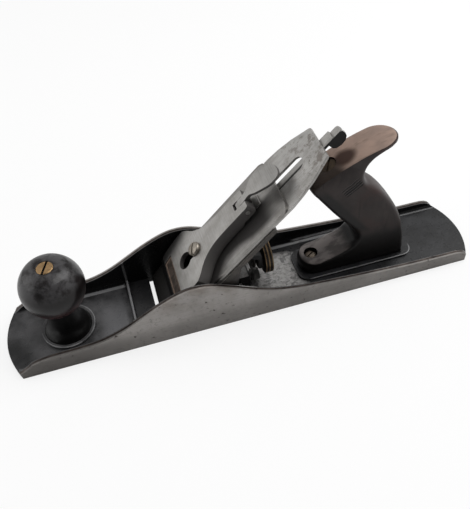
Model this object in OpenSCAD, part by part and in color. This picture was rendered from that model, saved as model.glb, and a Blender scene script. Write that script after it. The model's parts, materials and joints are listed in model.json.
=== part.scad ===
// Metal bench plane of the fourteen-inch jack pattern, as an assembly of its
// loose pieces. Millimetres. +X runs to the heel, the sole lies on z = 0, the
// cutting iron leans back at the bed angle and the near side is -Y.

/* [Sole casting] */
// Overall length of the sole
sole_length = 356; // [346:1:366]
// Width of the sole
sole_width = 62; // [61.6:0.2:64]
// Thickness of the casting's floor
floor_t = 4.5; // [4:0.1:5]
// Thickness of the side walls
wall_t = 3.6; // [3:0.1:3.7]
// Height of the side wings at their crest
crest_height = 46.9; // [43:0.1:50]
// Depth of the bow of the toe end
toe_bow = 8.5; // [6:0.1:10]
// Depth of the bow of the heel end
heel_bow = 9; // [6:0.1:10]
// Where the bed plane meets the sole, from mid length
mouth_x = -63; // [-66:0.5:-61]
// Free gap ahead of the cutting edge
mouth_gap = 2.7; // [2.6:0.1:3.6]
// Height of the ring that holds the knob's foot, above the floor
knob_ring_rise = 2.3; // [1.5:0.1:3]
// Height of the raised seat under the tote, above the floor
tote_seat_rise = 2; // [1.5:0.1:3]
// Height of the cross rib ahead of the mouth, above the floor
rib_rise = 3.2; // [2:0.1:4]

/* [Knob] */
// Distance of the knob from the toe end
knob_setback = 45; // [40:0.5:50]
// Diameter of the knob's ball
knob_diameter = 44.8; // [42:0.2:46]
// Height of the knob's flat top above the sole
knob_top = 70.6; // [68:0.2:74]
// Radius of the knob's foot
knob_foot_r = 16.8; // [15.5:0.1:18]
// Radius of the knob's waist
knob_waist_r = 11; // [10:0.1:12.5]

/* [Tote] */
// Shift of the whole tote along the sole
tote_shift = 0; // [-3:0.5:4]
// Thickness of the tote
tote_t = 24.4; // [22.4:0.5:26.4]
// Width of the rounding of the tote's flanks
tote_round = 11.5; // [9:0.5:11.5]
// Lean of the tote's rod from upright
tote_lean = 25; // [24:0.5:26]

/* [Irons] */
// Width of the cutting iron and cap iron
iron_width = 50.8; // [48:0.2:50.8]
// Thickness of the cutting iron
iron_t = 2.1; // [1.9:0.1:2.4]
// Length of the cutting iron
iron_length = 173; // [168:0.5:190]
// Thickness of the cap iron
cap_iron_t = 2.3; // [2:0.1:2.6]
// Length of the cap iron
cap_iron_length = 131.5; // [129:0.5:134]
// Width of the long slot in the cutting iron
iron_slot_w = 11; // [10.8:0.1:11.4]

/* [Lever cap] */
// Width of the lever cap at the bottom
cap_width = 50; // [46:0.2:50.4]
// Half width of the lever cap's shank
cap_shank_hw = 9; // [8.6:0.1:10]
// Length of the cam lever's thumb pad
pad_length = 34; // [30:0.5:37]
// Half width of the cam lever's thumb pad
pad_hw = 9.6; // [8:0.1:11]

/* [Depth and side adjustment] */
// Diameter of the depth wheel
wheel_diameter = 28; // [26:0.2:30]
// Thickness of the depth wheel's rim
wheel_rim_t = 6; // [5.4:0.1:7]
// Height of the depth wheel's axis above the sole
wheel_z = 30; // [29.5:0.1:30.5]
// Distance of the lateral lever's end from the cutting edge
lateral_reach = 186; // [183:0.5:192]

/* [Hidden] */
$fn = 64;
e = 0.01;
big = 400;

// Clearances: sliding faces, turning pins, and threads shown as plain bores
fit = 0.05;
pin_fit = 0.05;
thread_fit = 0.03;

// The bed and the frame that lies in it: s up the slope, h square to it
bed_angle = 45;
sa = sin(bed_angle);
ca = cos(bed_angle);
module on_bed() { translate([mouth_x, 0, 0]) rotate([0, -bed_angle, 0]) children(); }
function bx(s, h) = mouth_x + s * ca - h * sa;
function bz(s, h) = s * sa + h * ca;
function bp(s, h) = [bx(s, h), bz(s, h)];

// Smooth open curve through points
function cr(a, b, c, d, t) = 0.5 * (2 * b + (c - a) * t + (2 * a - 5 * b + 4 * c - d) * t * t
    + (3 * b - a - 3 * c + d) * t * t * t);
function curve(p, n = 4) = concat([for (i = [0 : len(p) - 2], k = [0 : n - 1])
    cr(p[max(i - 1, 0)], p[i], p[i + 1], p[min(i + 2, len(p) - 1)], k / n)], [p[len(p) - 1]]);
function flip(p) = [for (q = p) [q[0], -q[1]]];
function back(p) = [for (i = [len(p) - 1 : -1 : 0]) p[i]];

// Plate standing in the x-z plane, y0 to y1
module slab(pts, y0, y1) {
    translate([0, y1, 0]) rotate([90, 0, 0]) linear_extrude(y1 - y0) polygon(pts);
}
// The same in the bed frame, (s, h) points
module bed_slab(pts, y0, y1) { on_bed() slab(pts, y0, y1); }
// Cylinder along y at a point of the x-z plane
module bar_y(p, r, y0, y1) { translate([p[0], y1, p[1]]) rotate([90, 0, 0]) cylinder(h = y1 - y0, r = r); }
// Cylinder along x
module bar_x(x0, x1, y, z, r) { translate([x0, y, z]) rotate([0, 90, 0]) cylinder(h = x1 - x0, r = r); }
module round_slot(x0, x1, r, h) {
    translate([x0, 0, 0]) cylinder(h = h, r = r);
    translate([x1, 0, 0]) cylinder(h = h, r = r);
    translate([x0, -r, 0]) cube([x1 - x0, 2 * r, h]);
}

// Sizes derived from the sole
half_w = sole_width / 2;
inner_w = half_w - wall_t;
len_k = sole_length / 356;
toe_r = (half_w * half_w + toe_bow * toe_bow) / (2 * toe_bow);
heel_r = (half_w * half_w + heel_bow * heel_bow) / (2 * heel_bow);
x_toe = -sole_length / 2;
x_heel = sole_length / 2;
knob_x = x_toe + knob_setback;
seat_front = 6.5;
seat_rear = 12;

// Stack of the irons, heights above the bed
h_iron = fit;
h_iron_top = h_iron + iron_t;
h_cap = h_iron_top + fit;
h_cap_top = h_cap + cap_iron_t;
hump_h = h_cap_top + 3.5;
edge_s = -(h_iron_top) + 0.15;
iron_top_s = edge_s + iron_length;
cap_top_s = edge_s + 1.4 + cap_iron_length;

// Stations up the bed
frog_top_s = 113.5;
capscrew_s = 58.5;
yoke_s = 73;
yoke_pin_h = -7.4;
ironscrew_s = 86;
roller_s = 104;
pivot_s = 108;
lip_s = 19.2;
cap_end_s = 112;
cam_s = 107;
lc_top = h_cap_top + 11.1;
cam_h = lc_top - 4.3;
keyhole_s = capscrew_s - 12;
yoke_pin = bp(yoke_s, yoke_pin_h);
fork_x = yoke_pin[0] + 17.35;
wheel_x = fork_x + 3.3;
screw_z = 10.5;

// Casting
module sole_outline() {
    intersection() {
        translate([x_toe, -half_w]) square([sole_length, sole_width]);
        union() {
            translate([x_toe + toe_r, 0]) circle(r = toe_r, $fn = 120);
            translate([x_heel - heel_r, 0]) circle(r = heel_r, $fn = 120);
            translate([x_toe + toe_r, -half_w]) square([sole_length - toe_r - heel_r, sole_width]);
        }
    }
}
wall_pts = [[-178, 5.4], [-170, 6.4], [-164, 10], [-156, 13.1], [-146, 14.7], [-132, 15.1],
    [-118, 15.8], [-106, 18.2], [-93.5, 23.2], [-80.4, 30.7], [-68.6, 37.6], [-56.7, 43.4],
    [-48, 46.2], [-41, 46.9], [-34, 46.2], [-26, 43.6], [-10, 35.6], [3.5, 28.4], [17.7, 22.6],
    [33, 19], [47, 17.2], [65, 15.5], [81, 14.1], [100, 12.6], [116, 11.6], [140, 10.7],
    [160, 10.3], [169, 9.6], [178, 8.8]];
wing_k = (crest_height - 4.5) / 42.4;
function wall_curve() = curve([for (p = wall_pts)
    [p[0] * len_k, floor_t + (p[1] - 4.5) * wing_k]], 3);
module wall_pair() {
    pts = concat([[x_toe, 0]], wall_curve(), [[x_heel, 0]]);
    for (s = [-1, 1]) slab(pts, s > 0 ? inner_w : -half_w, s > 0 ? half_w : -inner_w);
}
module fillet_strip(x0, x1) {
    r = 3;
    for (m = [0, 1]) mirror([0, m, 0]) translate([x0, inner_w, floor_t]) rotate([90, 0, 90])
        linear_extrude(x1 - x0) difference() {
            translate([-r, -1]) square([r + 1, r + 1]);
            translate([-r, r]) circle(r = r, $fn = 40);
        }
}
mouth_hw = iron_width / 2 + 1.9;
tote_z = floor_t + tote_seat_rise;
tote_toe_x = 47;
tote_heel_x = 124;
rod_foot_x = 107.8;
toe_screw_x = 54;
tote_foot = [tote_toe_x + tote_shift, tote_heel_x + tote_shift];
rod_foot = [rod_foot_x + tote_shift, tote_z];
rod_up = [-sin(tote_lean), cos(tote_lean)];
module along_rod(d) {
    translate([rod_foot[0], 0, rod_foot[1]]) rotate([0, -tote_lean, 0]) translate([0, 0, d]) children();
}
module body_casting() {
    color([0.16, 0.17, 0.18]) difference() {
        union() {
            linear_extrude(floor_t) sole_outline();
            intersection() {
                union() {
                    wall_pair();
                    fillet_strip(x_toe, -88);
                    fillet_strip(12, x_heel);
                }
                linear_extrude(big) sole_outline();
            }
            // Cross rib ahead of the mouth
            slab([[-86.8, floor_t - 1], [-86.4, floor_t + rib_rise * 0.75], [-85.6, floor_t + rib_rise],
                [-84.6, floor_t + rib_rise], [-83.8, floor_t + rib_rise * 0.75],
                [-83.4, floor_t - 1]], -inner_w - 1, inner_w + 1);
            // Knob ring and its screwed boss
            translate([knob_x, 0, floor_t - 1]) difference() {
                cylinder(h = knob_ring_rise + 1, r = knob_foot_r + 2.7);
                translate([0, 0, 1]) cylinder(h = big, r = knob_foot_r + 0.4);
            }
            translate([knob_x, 0, floor_t - 1]) cylinder(h = 6, r = 6.5);
            // Tote seat, with the leaning boss of its rod
            translate([0, 0, floor_t - 1]) linear_extrude(tote_seat_rise + 1) {
                for (x = tote_foot, s = [-1, 1]) translate([x + (x > 90 ? 0.5 : 2.5), 7.6 * s]) circle(r = 8);
                translate([tote_foot[0] + 2.5, -15.6]) square([tote_foot[1] - tote_foot[0] - 2, 31.2]);
                translate([tote_foot[0] - 5.5, -7.6]) square([tote_foot[1] - tote_foot[0] + 14, 15.2]);
            }
            along_rod(-2.5) cylinder(h = 10.5, r = 6.5);
            // Frog seats: pad behind the mouth, two rear pads, guide rail, screw block
            slab([bp(3, -1.8), bp((seat_front / sa) - 1.8, -1.8), [bx(9, -1.8) + 9.5, seat_front],
                [bx(9, -1.8) + 9.5, floor_t - 1]], -inner_w - 1, inner_w + 1);
            for (s = [-1, 1]) translate([mouth_x + 22, s > 0 ? 7 : -23.5, floor_t - 1])
                cube([38, 16.5, seat_rear - floor_t + 1]);
            translate([mouth_x + 22, -3, floor_t - 1]) cube([26, 6, seat_rear - floor_t + 4]);
            translate([yoke_pin[0] + 2, -6.5, floor_t - 1]) cube([8, 13, 17 - floor_t + 1]);
        }
        // Mouth, its rear wall parallel to the bed
        slab([[bx(edge_s, h_iron_top) - mouth_gap, -1], [bx(edge_s, h_iron_top) - mouth_gap, floor_t + e],
            bp(floor_t / sa + 1.8, -1.8), bp(-1.8 - 2, -1.8)], -mouth_hw, mouth_hw);
        // Threaded bores, blind from above, and the frog screw's bore
        translate([knob_x, 0, 1.4]) cylinder(h = 20, r = 2.9 + thread_fit, $fn = 40);
        along_rod(-4.6) cylinder(h = 20, r = 2.9 + thread_fit, $fn = 40);
        translate([toe_screw_x + tote_shift, 0, 1.4]) cylinder(h = 20, r = 2.4 + thread_fit, $fn = 40);
        for (s = [-1, 1]) translate([mouth_x + 30, 14.5 * s, 2.4]) cylinder(h = 20, r = 3 + thread_fit, $fn = 40);
        bar_x(yoke_pin[0] - 4, yoke_pin[0] + 12, 0, screw_z, 3 + pin_fit);
        translate([0, 0, -big]) linear_extrude(big) square([big * 2, big], center = true);
    }
}

// Knob with its rod and brass nut
knob_r = knob_diameter / 2;
knob_zc = knob_top - 19;
knob_base = floor_t + fit;
module knob() {
    a0 = asin(15.4 / knob_r);
    a1 = 180 - asin(knob_waist_r * 1.04 / knob_r);
    neck = curve([[knob_foot_r, knob_base + 3], [knob_foot_r - 1.2, knob_base + 5.2],
        [knob_waist_r + 2.2, knob_base + 8.6], [knob_waist_r + 0.5, knob_base + 13],
        [knob_waist_r, knob_base + 18], [knob_waist_r + 0.1, knob_base + 23],
        [knob_r * sin(a1), knob_zc + knob_r * cos(a1)]], 3);
    ball = [for (i = [0 : 20]) let (a = a1 + (a0 - a1) * i / 20) [knob_r * sin(a), knob_zc + knob_r * cos(a)]];
    crown = curve([ball[20], [12.4, knob_top - 1.15], [9.6, knob_top - 0.25], [7.3, knob_top]], 3);
    color([0.13, 0.05, 0.045]) translate([knob_x, 0, 0]) difference() {
        rotate_extrude($fn = 96) polygon(concat([[0, knob_base], [knob_foot_r, knob_base]], neck,
            [for (i = [1 : 19]) ball[i]], crown, [[0, knob_top]]));
        translate([0, 0, -1]) cylinder(h = 100, r = 3.3, $fn = 40);
        translate([0, 0, -1]) cylinder(h = knob_base + 6.6, r = 6.7);
        translate([0, 0, knob_top - 15]) cylinder(h = 20, r = 4.6 + thread_fit, $fn = 40);
        translate([0, 0, knob_top - 2.6]) cylinder(h = 20, r = 5.8 + thread_fit);
    }
}
module knob_rod() {
    color([0.5, 0.5, 0.5]) translate([knob_x, 0, 1.6]) cylinder(h = knob_top - 6.6, r = 2.9, $fn = 40);
}
// Barrel nut: flange, shank and driver slot; z = 0 on the top of its flange
module barrel_nut(r, rs, len) {
    difference() {
        union() {
            translate([0, 0, -2.4]) cylinder(h = 1.9, r = r);
            translate([0, 0, -0.5]) cylinder(h = 0.5, r1 = r, r2 = r - 0.6);
            translate([0, 0, -len]) cylinder(h = len - 2, r = rs, $fn = 40);
        }
        translate([0, 0, -len - 1]) cylinder(h = len - 2, r = 2.9 + thread_fit, $fn = 40);
        translate([-r - 1, -0.7, -1.5]) cube([2 * r + 2, 1.4, 3]);
    }
}
module knob_nut() {
    color([0.66, 0.47, 0.2]) translate([knob_x, 0, knob_top + 0.2]) rotate([0, 0, 96]) barrel_nut(5.8, 4.6, 14.6);
}

// Tote: side outline skinned across its thickness with rounded edges
// Each row: front or top point, back point, the same two on the flank, sharpness of both
tote_stations = [
    [46.5, 6.5, 124.6, 6.5, 46.5, 7.5, 124.5, 8.1, 1.7, 1.7],
    [44.4, 9, 125.3, 9, 46.5, 9.7, 122.7, 9.3, 1.7, 1.7],
    [44.2, 13.5, 125.5, 13.5, 47.5, 12.8, 121.9, 13.5, 1.7, 1.7],
    [46.2, 17, 125.4, 16.5, 48.2, 14, 120.8, 16.2, 1.7, 1.7],
    [51, 17.9, 125.2, 19, 51.3, 14.9, 120.6, 18.5, 1.7, 1.7],
    [58, 18.3, 124.9, 21.5, 58.7, 13.8, 120.3, 20.9, 1.7, 1.7],
    [66, 20.2, 124.4, 25, 67.3, 15.8, 119.9, 24.2, 1.7, 1.7],
    [74.5, 23.2, 123.6, 29, 76.4, 19, 119.1, 28, 1.7, 1.7],
    [82, 27.4, 122.5, 34, 85, 23.9, 118, 33, 1.7, 1.7],
    [85.6, 32.6, 121.4, 39, 90.1, 31.6, 117, 37.8, 1.7, 1.7],
    [84.4, 38.6, 119.4, 45, 88.6, 40.5, 115.1, 43.4, 1.7, 1.7],
    [80.4, 44.4, 116.6, 51.5, 84.1, 47.2, 112.5, 49.4, 1.7, 1.7],
    [74.4, 52, 112.4, 59, 78, 54.8, 108.5, 56.6, 1.7, 1.7],
    [67.2, 61.4, 107.4, 66.5, 70.9, 64.1, 103.7, 63.8, 1.7, 1.7],
    [60.4, 71, 101.6, 73.8, 64.2, 73.6, 98.2, 70.7, 1.7, 1.7],
    [54.4, 79.6, 95.4, 79.8, 58.2, 82.2, 92.2, 76.5, 1.7, 1.6],
    [49.8, 86.4, 90.6, 84.2, 54, 86.2, 86.4, 84, 1.7, 1.3],
    [48.6, 91.2, 88.8, 88.4, 52.4, 90.4, 84, 88.4, 1.6, 1.1],
    [53, 95.4, 88.6, 92.2, 55.5, 95.4, 83, 92.2, 1.5, 1],
    [62, 100.4, 89.2, 95.8, 62.8, 99.8, 83, 96, 1.4, 0.9],
    [72, 105.4, 91, 99.4, 72, 104.7, 83.6, 99.6, 1.3, 0.85],
    [82, 109.9, 94, 102.8, 81, 108.9, 85.3, 103.4, 1.2, 0.8],
    [91, 113.3, 98, 105.6, 88, 111.6, 88, 107, 1.1, 0.8],
    [98.5, 115.6, 102, 107.8, 92.5, 113.1, 90.8, 109.4, 1, 0.85],
    [104.5, 116.8, 106, 109.6, 94.8, 113.8, 93.2, 111.2, 1, 0.9],
    [109, 116.9, 109.4, 111.4, 96, 114.1, 95, 112.4, 1, 1],
    [111.4, 115.6, 111.6, 113.6, 96.4, 113.9, 96.2, 113.4, 1, 1]];
tn = 4 * len(tote_stations) - 2;
tote_base = tote_z + fit;
function unit(v) = v / max(norm(v), 1e-6);
// Outline of the slice that lies at an angle round the flank, 90 on the flank itself
function tote_ring(a) = let (
    row = function (q, k, j) let (w = pow(1 - cos(a), q[j]), m = [q[k], q[k + 1]], f = [q[k + 4], q[k + 5]],
        p = m + (f - m) * w) [p[0] + tote_shift, p[1] - 6.5 + tote_base],
    line = concat(curve([for (q = tote_stations) row(q, 0, 8)], 2), back(curve([for (q = tote_stations) row(q, 2, 9)], 2))))
    [for (p = line) [p[0], max(p[1], tote_base)]];
module tote() {
    ht = tote_t / 2;
    r = tote_round;
    angles = [90, 60, 30, 0];
    ys = concat([for (a = angles) -(ht - r) - r * sin(a)], [for (a = back(angles)) (ht - r) + r * sin(a)]);
    ny = len(ys);
    half = [for (a = angles) tote_ring(a)];
    rings = concat(half, back(half));
    pts = [for (j = [0 : ny - 1], i = [0 : tn - 1]) [rings[j][i][0], ys[j], rings[j][i][1]]];
    quads = [for (j = [0 : ny - 2], i = [0 : tn - 1]) let (k = (i + 1) % tn) each
        [[j * tn + i, j * tn + k, (j + 1) * tn + k], [j * tn + i, (j + 1) * tn + k, (j + 1) * tn + i]]];
    last = (ny - 1) * tn;
    caps = [for (i = [0 : tn / 2 - 2]) let (a = i, b = i + 1, c = tn - 2 - i, d = tn - 1 - i) each
        [[c, b, a], [d, c, a], [last + a, last + b, last + c], [last + a, last + c, last + d]]];
    color([0.17, 0.13, 0.11]) difference() {
        polyhedron(points = pts, faces = concat(quads, caps), convexity = 8);
        along_rod(-20) cylinder(h = 200, r = 3.3, $fn = 40);
        along_rod(-20) cylinder(h = 28.6, r = 6.7);
        along_rod(nut_d - 15) cylinder(h = 60, r = 4.6 + thread_fit, $fn = 40);
        along_rod(nut_d - 2.6) cylinder(h = 60, r = 6 + thread_fit);
        translate([toe_screw_x + tote_shift, 0, 0]) cylinder(h = 40, r = 2.8, $fn = 40);
        translate([toe_screw_x + tote_shift, 0, tote_base + 6.7]) cylinder(h = 40, r = 5.2);
    }
}
// Depth along the rod at which the tote nut's face lies
nut_d = 103.5;
module tote_rod() {
    color([0.5, 0.5, 0.5]) along_rod(-4.4) cylinder(h = nut_d - 2, r = 2.9, $fn = 40);
}
module tote_nut() {
    color([0.66, 0.47, 0.2]) along_rod(nut_d + 0.2) rotate([0, 0, 60]) barrel_nut(6, 4.6, 14.6);
}
// Slotted round-head screw pointing down, head seat on z = 0
module round_screw(r, len, rh, hh) {
    difference() {
        union() {
            translate([0, 0, -len]) cylinder(h = len + e, r = r, $fn = 40);
            rotate_extrude() polygon([[0, 0], [rh, 0], [rh, hh * 0.45], [rh * 0.88, hh * 0.78],
                [rh * 0.55, hh * 0.96], [0, hh]]);
        }
        translate([-rh - 1, -0.6, hh * 0.5]) cube([2 * rh + 2, 1.2, hh]);
    }
}
module tote_toe_screw() {
    color([0.45, 0.42, 0.36]) translate([toe_screw_x + tote_shift, 0, tote_base + 6.7 + fit]) rotate([0, 0, 35])
        round_screw(2.4, tote_base + 4.9, 4.6, 3.2);
}

// Frog
frog_hw = min(26.6, inner_w - 0.6);
frog_lo = seat_front + fit;
frog_hi = seat_rear + fit;
plate_t = 4;
module frog() {
    x0 = mouth_x + 22;
    rear = yoke_pin[0];
    color([0.42, 0.38, 0.33]) difference() {
        union() {
            // Bed plate
            bed_slab([[frog_lo / sa - 4, 0], [frog_top_s, 0], [frog_top_s, -3.2], [79, -3.6], [60, -plate_t],
                [frog_lo / sa - 4, -plate_t]], -frog_hw, frog_hw);
            // Flanks and the toe foot
            for (s = [-1, 1]) slab([bp(frog_lo / sa, -0.6), bp(77, -0.6), bp(77, -3.2), bp(74, -5), [rear - 3.5, 37],
                [rear - 1.5, 24], [rear - 1, frog_hi], [x0 - 1.3, frog_hi], [x0 - 1.3, frog_lo - 2]],
                s > 0 ? frog_hw - 4 : -frog_hw + 0.3, s > 0 ? frog_hw - 0.3 : -frog_hw + 4);
            slab([bp(frog_lo / sa, -0.9), bp(24, -0.9), [bx(24, 0), 17], [x0 - 1.3, 17], [x0 - 1.3, frog_lo - 2]],
                -frog_hw + 0.5, frog_hw - 0.5);
            // Flange clamped by the frog screws, and the centre web
            translate([x0 - 2, -24, frog_hi]) cube([21, 48, 5]);
            slab([bp(24, -2), bp(64, -2), bp(66, -9), [rear - 8, 36.5], [rear - 8, 20], [x0 + 14, 17 - e],
                [x0 - 1, 17 - e]], -5.5, 5.5);
            // Rear feet and the bridge that carries the stud
            for (s = [-1, 1]) translate([rear - 14, s > 0 ? 8.6 : -frog_hw, frog_hi])
                cube([13, frog_hw - 8.6, 9]);
            slab([[rear - 12, 20.5], [rear - 1.4, 20.5], [rear - 1.7, 26], [rear - 4, 36], [rear - 12, 36]],
                -frog_hw + 2, frog_hw - 2);
            bar_x(rear - 16, rear + 3.5, 0, wheel_z, 6);
            // Boss of the lever cap screw, lugs of the yoke pin, lug of the clip
            on_bed() translate([capscrew_s, 0, -15]) cylinder(h = 14, r = 7);
            for (s = [-1, 1]) on_bed() translate([0, s > 0 ? 15.2 : -11.2, 0]) rotate([90, 0, 0])
                linear_extrude(4) union() {
                    translate([yoke_s, yoke_pin_h]) circle(r = 4.4);
                    polygon([[yoke_s - 5.2, -2], [yoke_s + 5.2, -2], [yoke_s + 3.6, yoke_pin_h - 0.4],
                        [yoke_s - 3.6, yoke_pin_h - 0.4]]);
                }
            translate([rear - 4, 8.6, frog_hi]) cube([13.4, 9.4, 8.9]);
        }
        // Guide groove, arch over the screw block
        translate([x0 - 3, -3 - 0.2, 0]) cube([60, 6.4, seat_rear + 3.3]);
        translate([rear - 12, -7, 0]) cube([40, 14, 18.4]);
        // Wells and slotted holes of the frog screws
        for (s = [-1, 1]) translate([mouth_x + 30, 14.5 * s, 0]) {
            translate([0, 0, 17.05]) cylinder(h = 60, r = 8.4);
            translate([-1.3, 0, 0]) round_slot(0, 2.6, 3.4, 30);
        }
        // Lever cap screw, long opening for yoke and iron screw, seat of the lateral lever
        on_bed() {
            translate([capscrew_s, 0, -10]) cylinder(h = 20, r = 3.5 + thread_fit, $fn = 40);
            translate([yoke_s - 5, -4.8, -30]) cube([14, 9.6, 40]);
            translate([ironscrew_s, 0, -30]) round_slot(-3, 3, 8.8, 40);
            translate([96, -8, -2.55]) cube([60, 16, 10]);
            translate([pivot_s, 0, -6]) cylinder(h = 8, r = 2 + pin_fit, $fn = 32);
        }
        bar_y(yoke_pin, 1.5 + pin_fit, -40, 40, $fn = 32);
        bar_y(yoke_pin, 4.45, -11.1, 11.1);
        // Room for the yoke behind the bed
        slab([bp(yoke_s - 7, -plate_t - 0.2), bp(yoke_s + 8, -plate_t - 0.2), [rear + 12, 44], [rear + 12, 36.5],
            [rear - 3, 36.5]], -11.1, 11.1);
        bar_x(rear - 7, rear + 10, 0, wheel_z, 3.2 + pin_fit, $fn = 40);
        bar_x(rear, rear + 12, 12.6, clip_z, 1.5 + thread_fit, $fn = 32);
        translate([0, 0, -big + frog_lo]) linear_extrude(big) square([big * 2, big], center = true);
    }
}
module frog_screws() {
    color([0.5, 0.47, 0.42]) for (s = [-1, 1]) translate([mouth_x + 30, 14.5 * s, frog_hi + 5 + 1.2 + 2 * fit])
        rotate([0, 0, 20 * s]) difference() {
            union() {
                translate([0, 0, -15.6]) cylinder(h = 16, r = 3, $fn = 40);
                cylinder(h = 3.6, r = 5.8);
            }
            translate([-7, -0.7, 2]) cube([14, 1.4, 4]);
        }
}
module frog_screw_washers() {
    color([0.5, 0.47, 0.42]) for (s = [-1, 1]) translate([mouth_x + 30, 14.5 * s, frog_hi + 5 + fit]) difference() {
        cylinder(h = 1.2, r = 7);
        translate([0, 0, -1]) cylinder(h = 4, r = 3 + thread_fit, $fn = 40);
    }
}
// Screw, grooved behind its head, that shifts the frog; the clip rides in the groove
clip_x = yoke_pin[0] + 13.5;
clip_z = 16.4;
clip_t = 1.3;
module frog_adjusting_screw() {
    color([0.5, 0.47, 0.42]) difference() {
        union() {
            bar_x(yoke_pin[0] - 2.5, clip_x + 2, 0, screw_z, 3, $fn = 40);
            bar_x(clip_x - 1.2, clip_x - 0.12, 0, screw_z, 4.6);
            bar_x(clip_x + clip_t + 0.12, clip_x + clip_t + 3.4, 0, screw_z, 4.6);
        }
        translate([clip_x + clip_t + 2.2, -0.6, screw_z - 8]) cube([4, 1.2, 16]);
    }
}
module frog_adjusting_clip() {
    color([0.46, 0.44, 0.4]) difference() {
        translate([clip_x, 0, 0]) rotate([90, 0, 90]) linear_extrude(clip_t) difference() {
            polygon([[-5.4, 6.2], [17.6, 6.2], [17.6, 20.2], [8, 20.2], [3, 16.4], [-5.4, 15.2]]);
            translate([-3.1, 0]) square([6.2, screw_z]);
            translate([0, screw_z]) circle(r = 3.1, $fn = 40);
        }
        bar_x(0, 40, 12.6, clip_z, 1.5 + thread_fit, $fn = 32);
        translate([0, 3.1, 0]) cube([60, 20, 12.2]);
    }
}
module frog_clip_screw() {
    color([0.5, 0.47, 0.42]) difference() {
        union() {
            bar_x(clip_x - 6, clip_x + clip_t + 1, 12.6, clip_z, 1.5, $fn = 32);
            bar_x(clip_x + clip_t + fit, clip_x + clip_t + 1.9, 12.6, clip_z, 3, $fn = 40);
        }
        translate([clip_x + clip_t + 1.1, 12.2, clip_z - 6]) cube([4, 0.8, 12]);
    }
}

// Depth adjustment
module adjusting_stud() {
    color([0.5, 0.48, 0.45]) bar_x(yoke_pin[0] - 6, wheel_x + wheel_rim_t + 2.2, 0, wheel_z, 3.2, $fn = 40);
}
module depth_adjusting_wheel() {
    r = wheel_diameter / 2;
    g = fork_x;
    x1 = wheel_x + wheel_rim_t;
    m = wheel_x + wheel_rim_t / 2;
    color([0.42, 0.33, 0.18]) translate([0, 0, wheel_z]) rotate([0, 90, 0]) difference() {
        rotate_extrude($fn = 96) polygon([[0, g - 4.6], [7.7, g - 4.6], [8.2, g - 4.1], [8.2, g - 2.75],
            [5.6, g - 2.75], [5.6, g + 2.75], [r - 2.2, wheel_x - 0.55], [r - 0.6, wheel_x], [r, wheel_x + 0.5],
            [r, m - 1.1], [r - 1.1, m - 0.6], [r - 1.1, m + 0.6], [r, m + 1.1], [r, x1 - 0.5], [r - 0.6, x1],
            [r - 3.4, x1], [r - 4.2, x1 - 1.2], [6.4, x1 - 1.2], [5.8, x1 + 0.4], [0, x1 + 0.4]]);
        translate([0, 0, -60]) cylinder(h = 160, r = 3.2 + pin_fit, $fn = 40);
    }
}
module adjusting_yoke() {
    f = [fork_x, wheel_z];
    dir = unit(f + [0, 9] - yoke_pin);
    sd = [-dir[1], dir[0]];
    color([0.45, 0.42, 0.38]) difference() {
        union() {
            bar_y(yoke_pin, 4.2, -10.9, 10.9);
            bar_y(bp(yoke_s, h_cap + cap_iron_t / 2), 2.3, -4, 4, $fn = 40);
            bed_slab([[yoke_s - 1.9, h_cap + cap_iron_t / 2], [yoke_s - 1.9, yoke_pin_h], [yoke_s + 1.9, yoke_pin_h],
                [yoke_s + 1.9, h_cap + cap_iron_t / 2]], -4, 4);
            for (s = [-1, 1]) {
                slab([yoke_pin + sd * 2.4, f + [0, 9] + sd * 2, f + [0, 9] - sd * 2, yoke_pin - sd * 2.4],
                    s > 0 ? 6.6 : -10.9, s > 0 ? 10.9 : -6.6);
                slab([f - [1.4, 0], f + [1.4, 0], f + [1.4, 9.9], f + [-1.4, 9.9]],
                    s > 0 ? 6.6 : -10.9, s > 0 ? 10.9 : -6.6);
                bar_y(f, 2.45, s > 0 ? 6.6 : -10.9, s > 0 ? 10.9 : -6.6, $fn = 40);
            }
        }
        bar_y(yoke_pin, 1.5 + pin_fit, -20, 20, $fn = 32);
    }
}
module yoke_pin_steel() { color([0.55, 0.55, 0.55]) bar_y(yoke_pin, 1.5, -15.2, 15.2, $fn = 32); }

// Side adjustment
module lateral_lever() {
    end_s = lateral_reach - 7;
    out = curve([[pivot_s - 7.6, 3.6], [pivot_s, 4.2], [pivot_s + 9, 3.9], [pivot_s + 20, 3.3],
        [150, 3], [end_s - 3, 3], [end_s, 2.6]], 3);
    color([0.5, 0.5, 0.5]) on_bed() difference() {
        union() {
            translate([0, 0, -2.35]) linear_extrude(2.1) polygon(concat(out, back(flip(out))));
            translate([roller_s, 0, -1]) cylinder(h = h_iron + iron_t - 0.1 + 1, r = 1.8, $fn = 32);
        }
        translate([pivot_s, 0, -8]) cylinder(h = 20, r = 2 + pin_fit, $fn = 32);
        for (s = [0, 7]) translate([end_s - 10 + s, 0, -8]) cylinder(h = 20, r = 0.9 + thread_fit, $fn = 24);
    }
}
module lateral_thumb_piece() {
    e1 = lateral_reach;
    color([0.5, 0.5, 0.5]) on_bed() {
        translate([0, 0, -4.5]) linear_extrude(2.1) polygon([[e1 - 20, -2.2], [e1 - 19, -3], [e1 - 2, -3],
            [e1 - 0.6, -2.2], [e1, -0.6], [e1, 0.8], [e1 - 0.8, 2.4], [e1 - 2.2, 3], [e1 - 19, 3], [e1 - 20, 2.2]]);
        translate([0, -3, 0]) rotate([90, 0, 0]) translate([0, 0, -1.9]) linear_extrude(1.9)
            polygon([[e1 - 13, -2.5], [e1 - 13, -8.5], [e1 - 11.5, -10.6], [e1 - 8, -11.8], [e1 - 4, -11.4],
                [e1 - 1.2, -9.4], [e1, -6.6], [e1 - 0.2, -3.6], [e1 - 1.2, -2.5]]);
        for (s = [0, 7]) translate([e1 - 17 + s, 0, -4.8]) cylinder(h = 4.5, r = 0.9, $fn = 24);
    }
}
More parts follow.
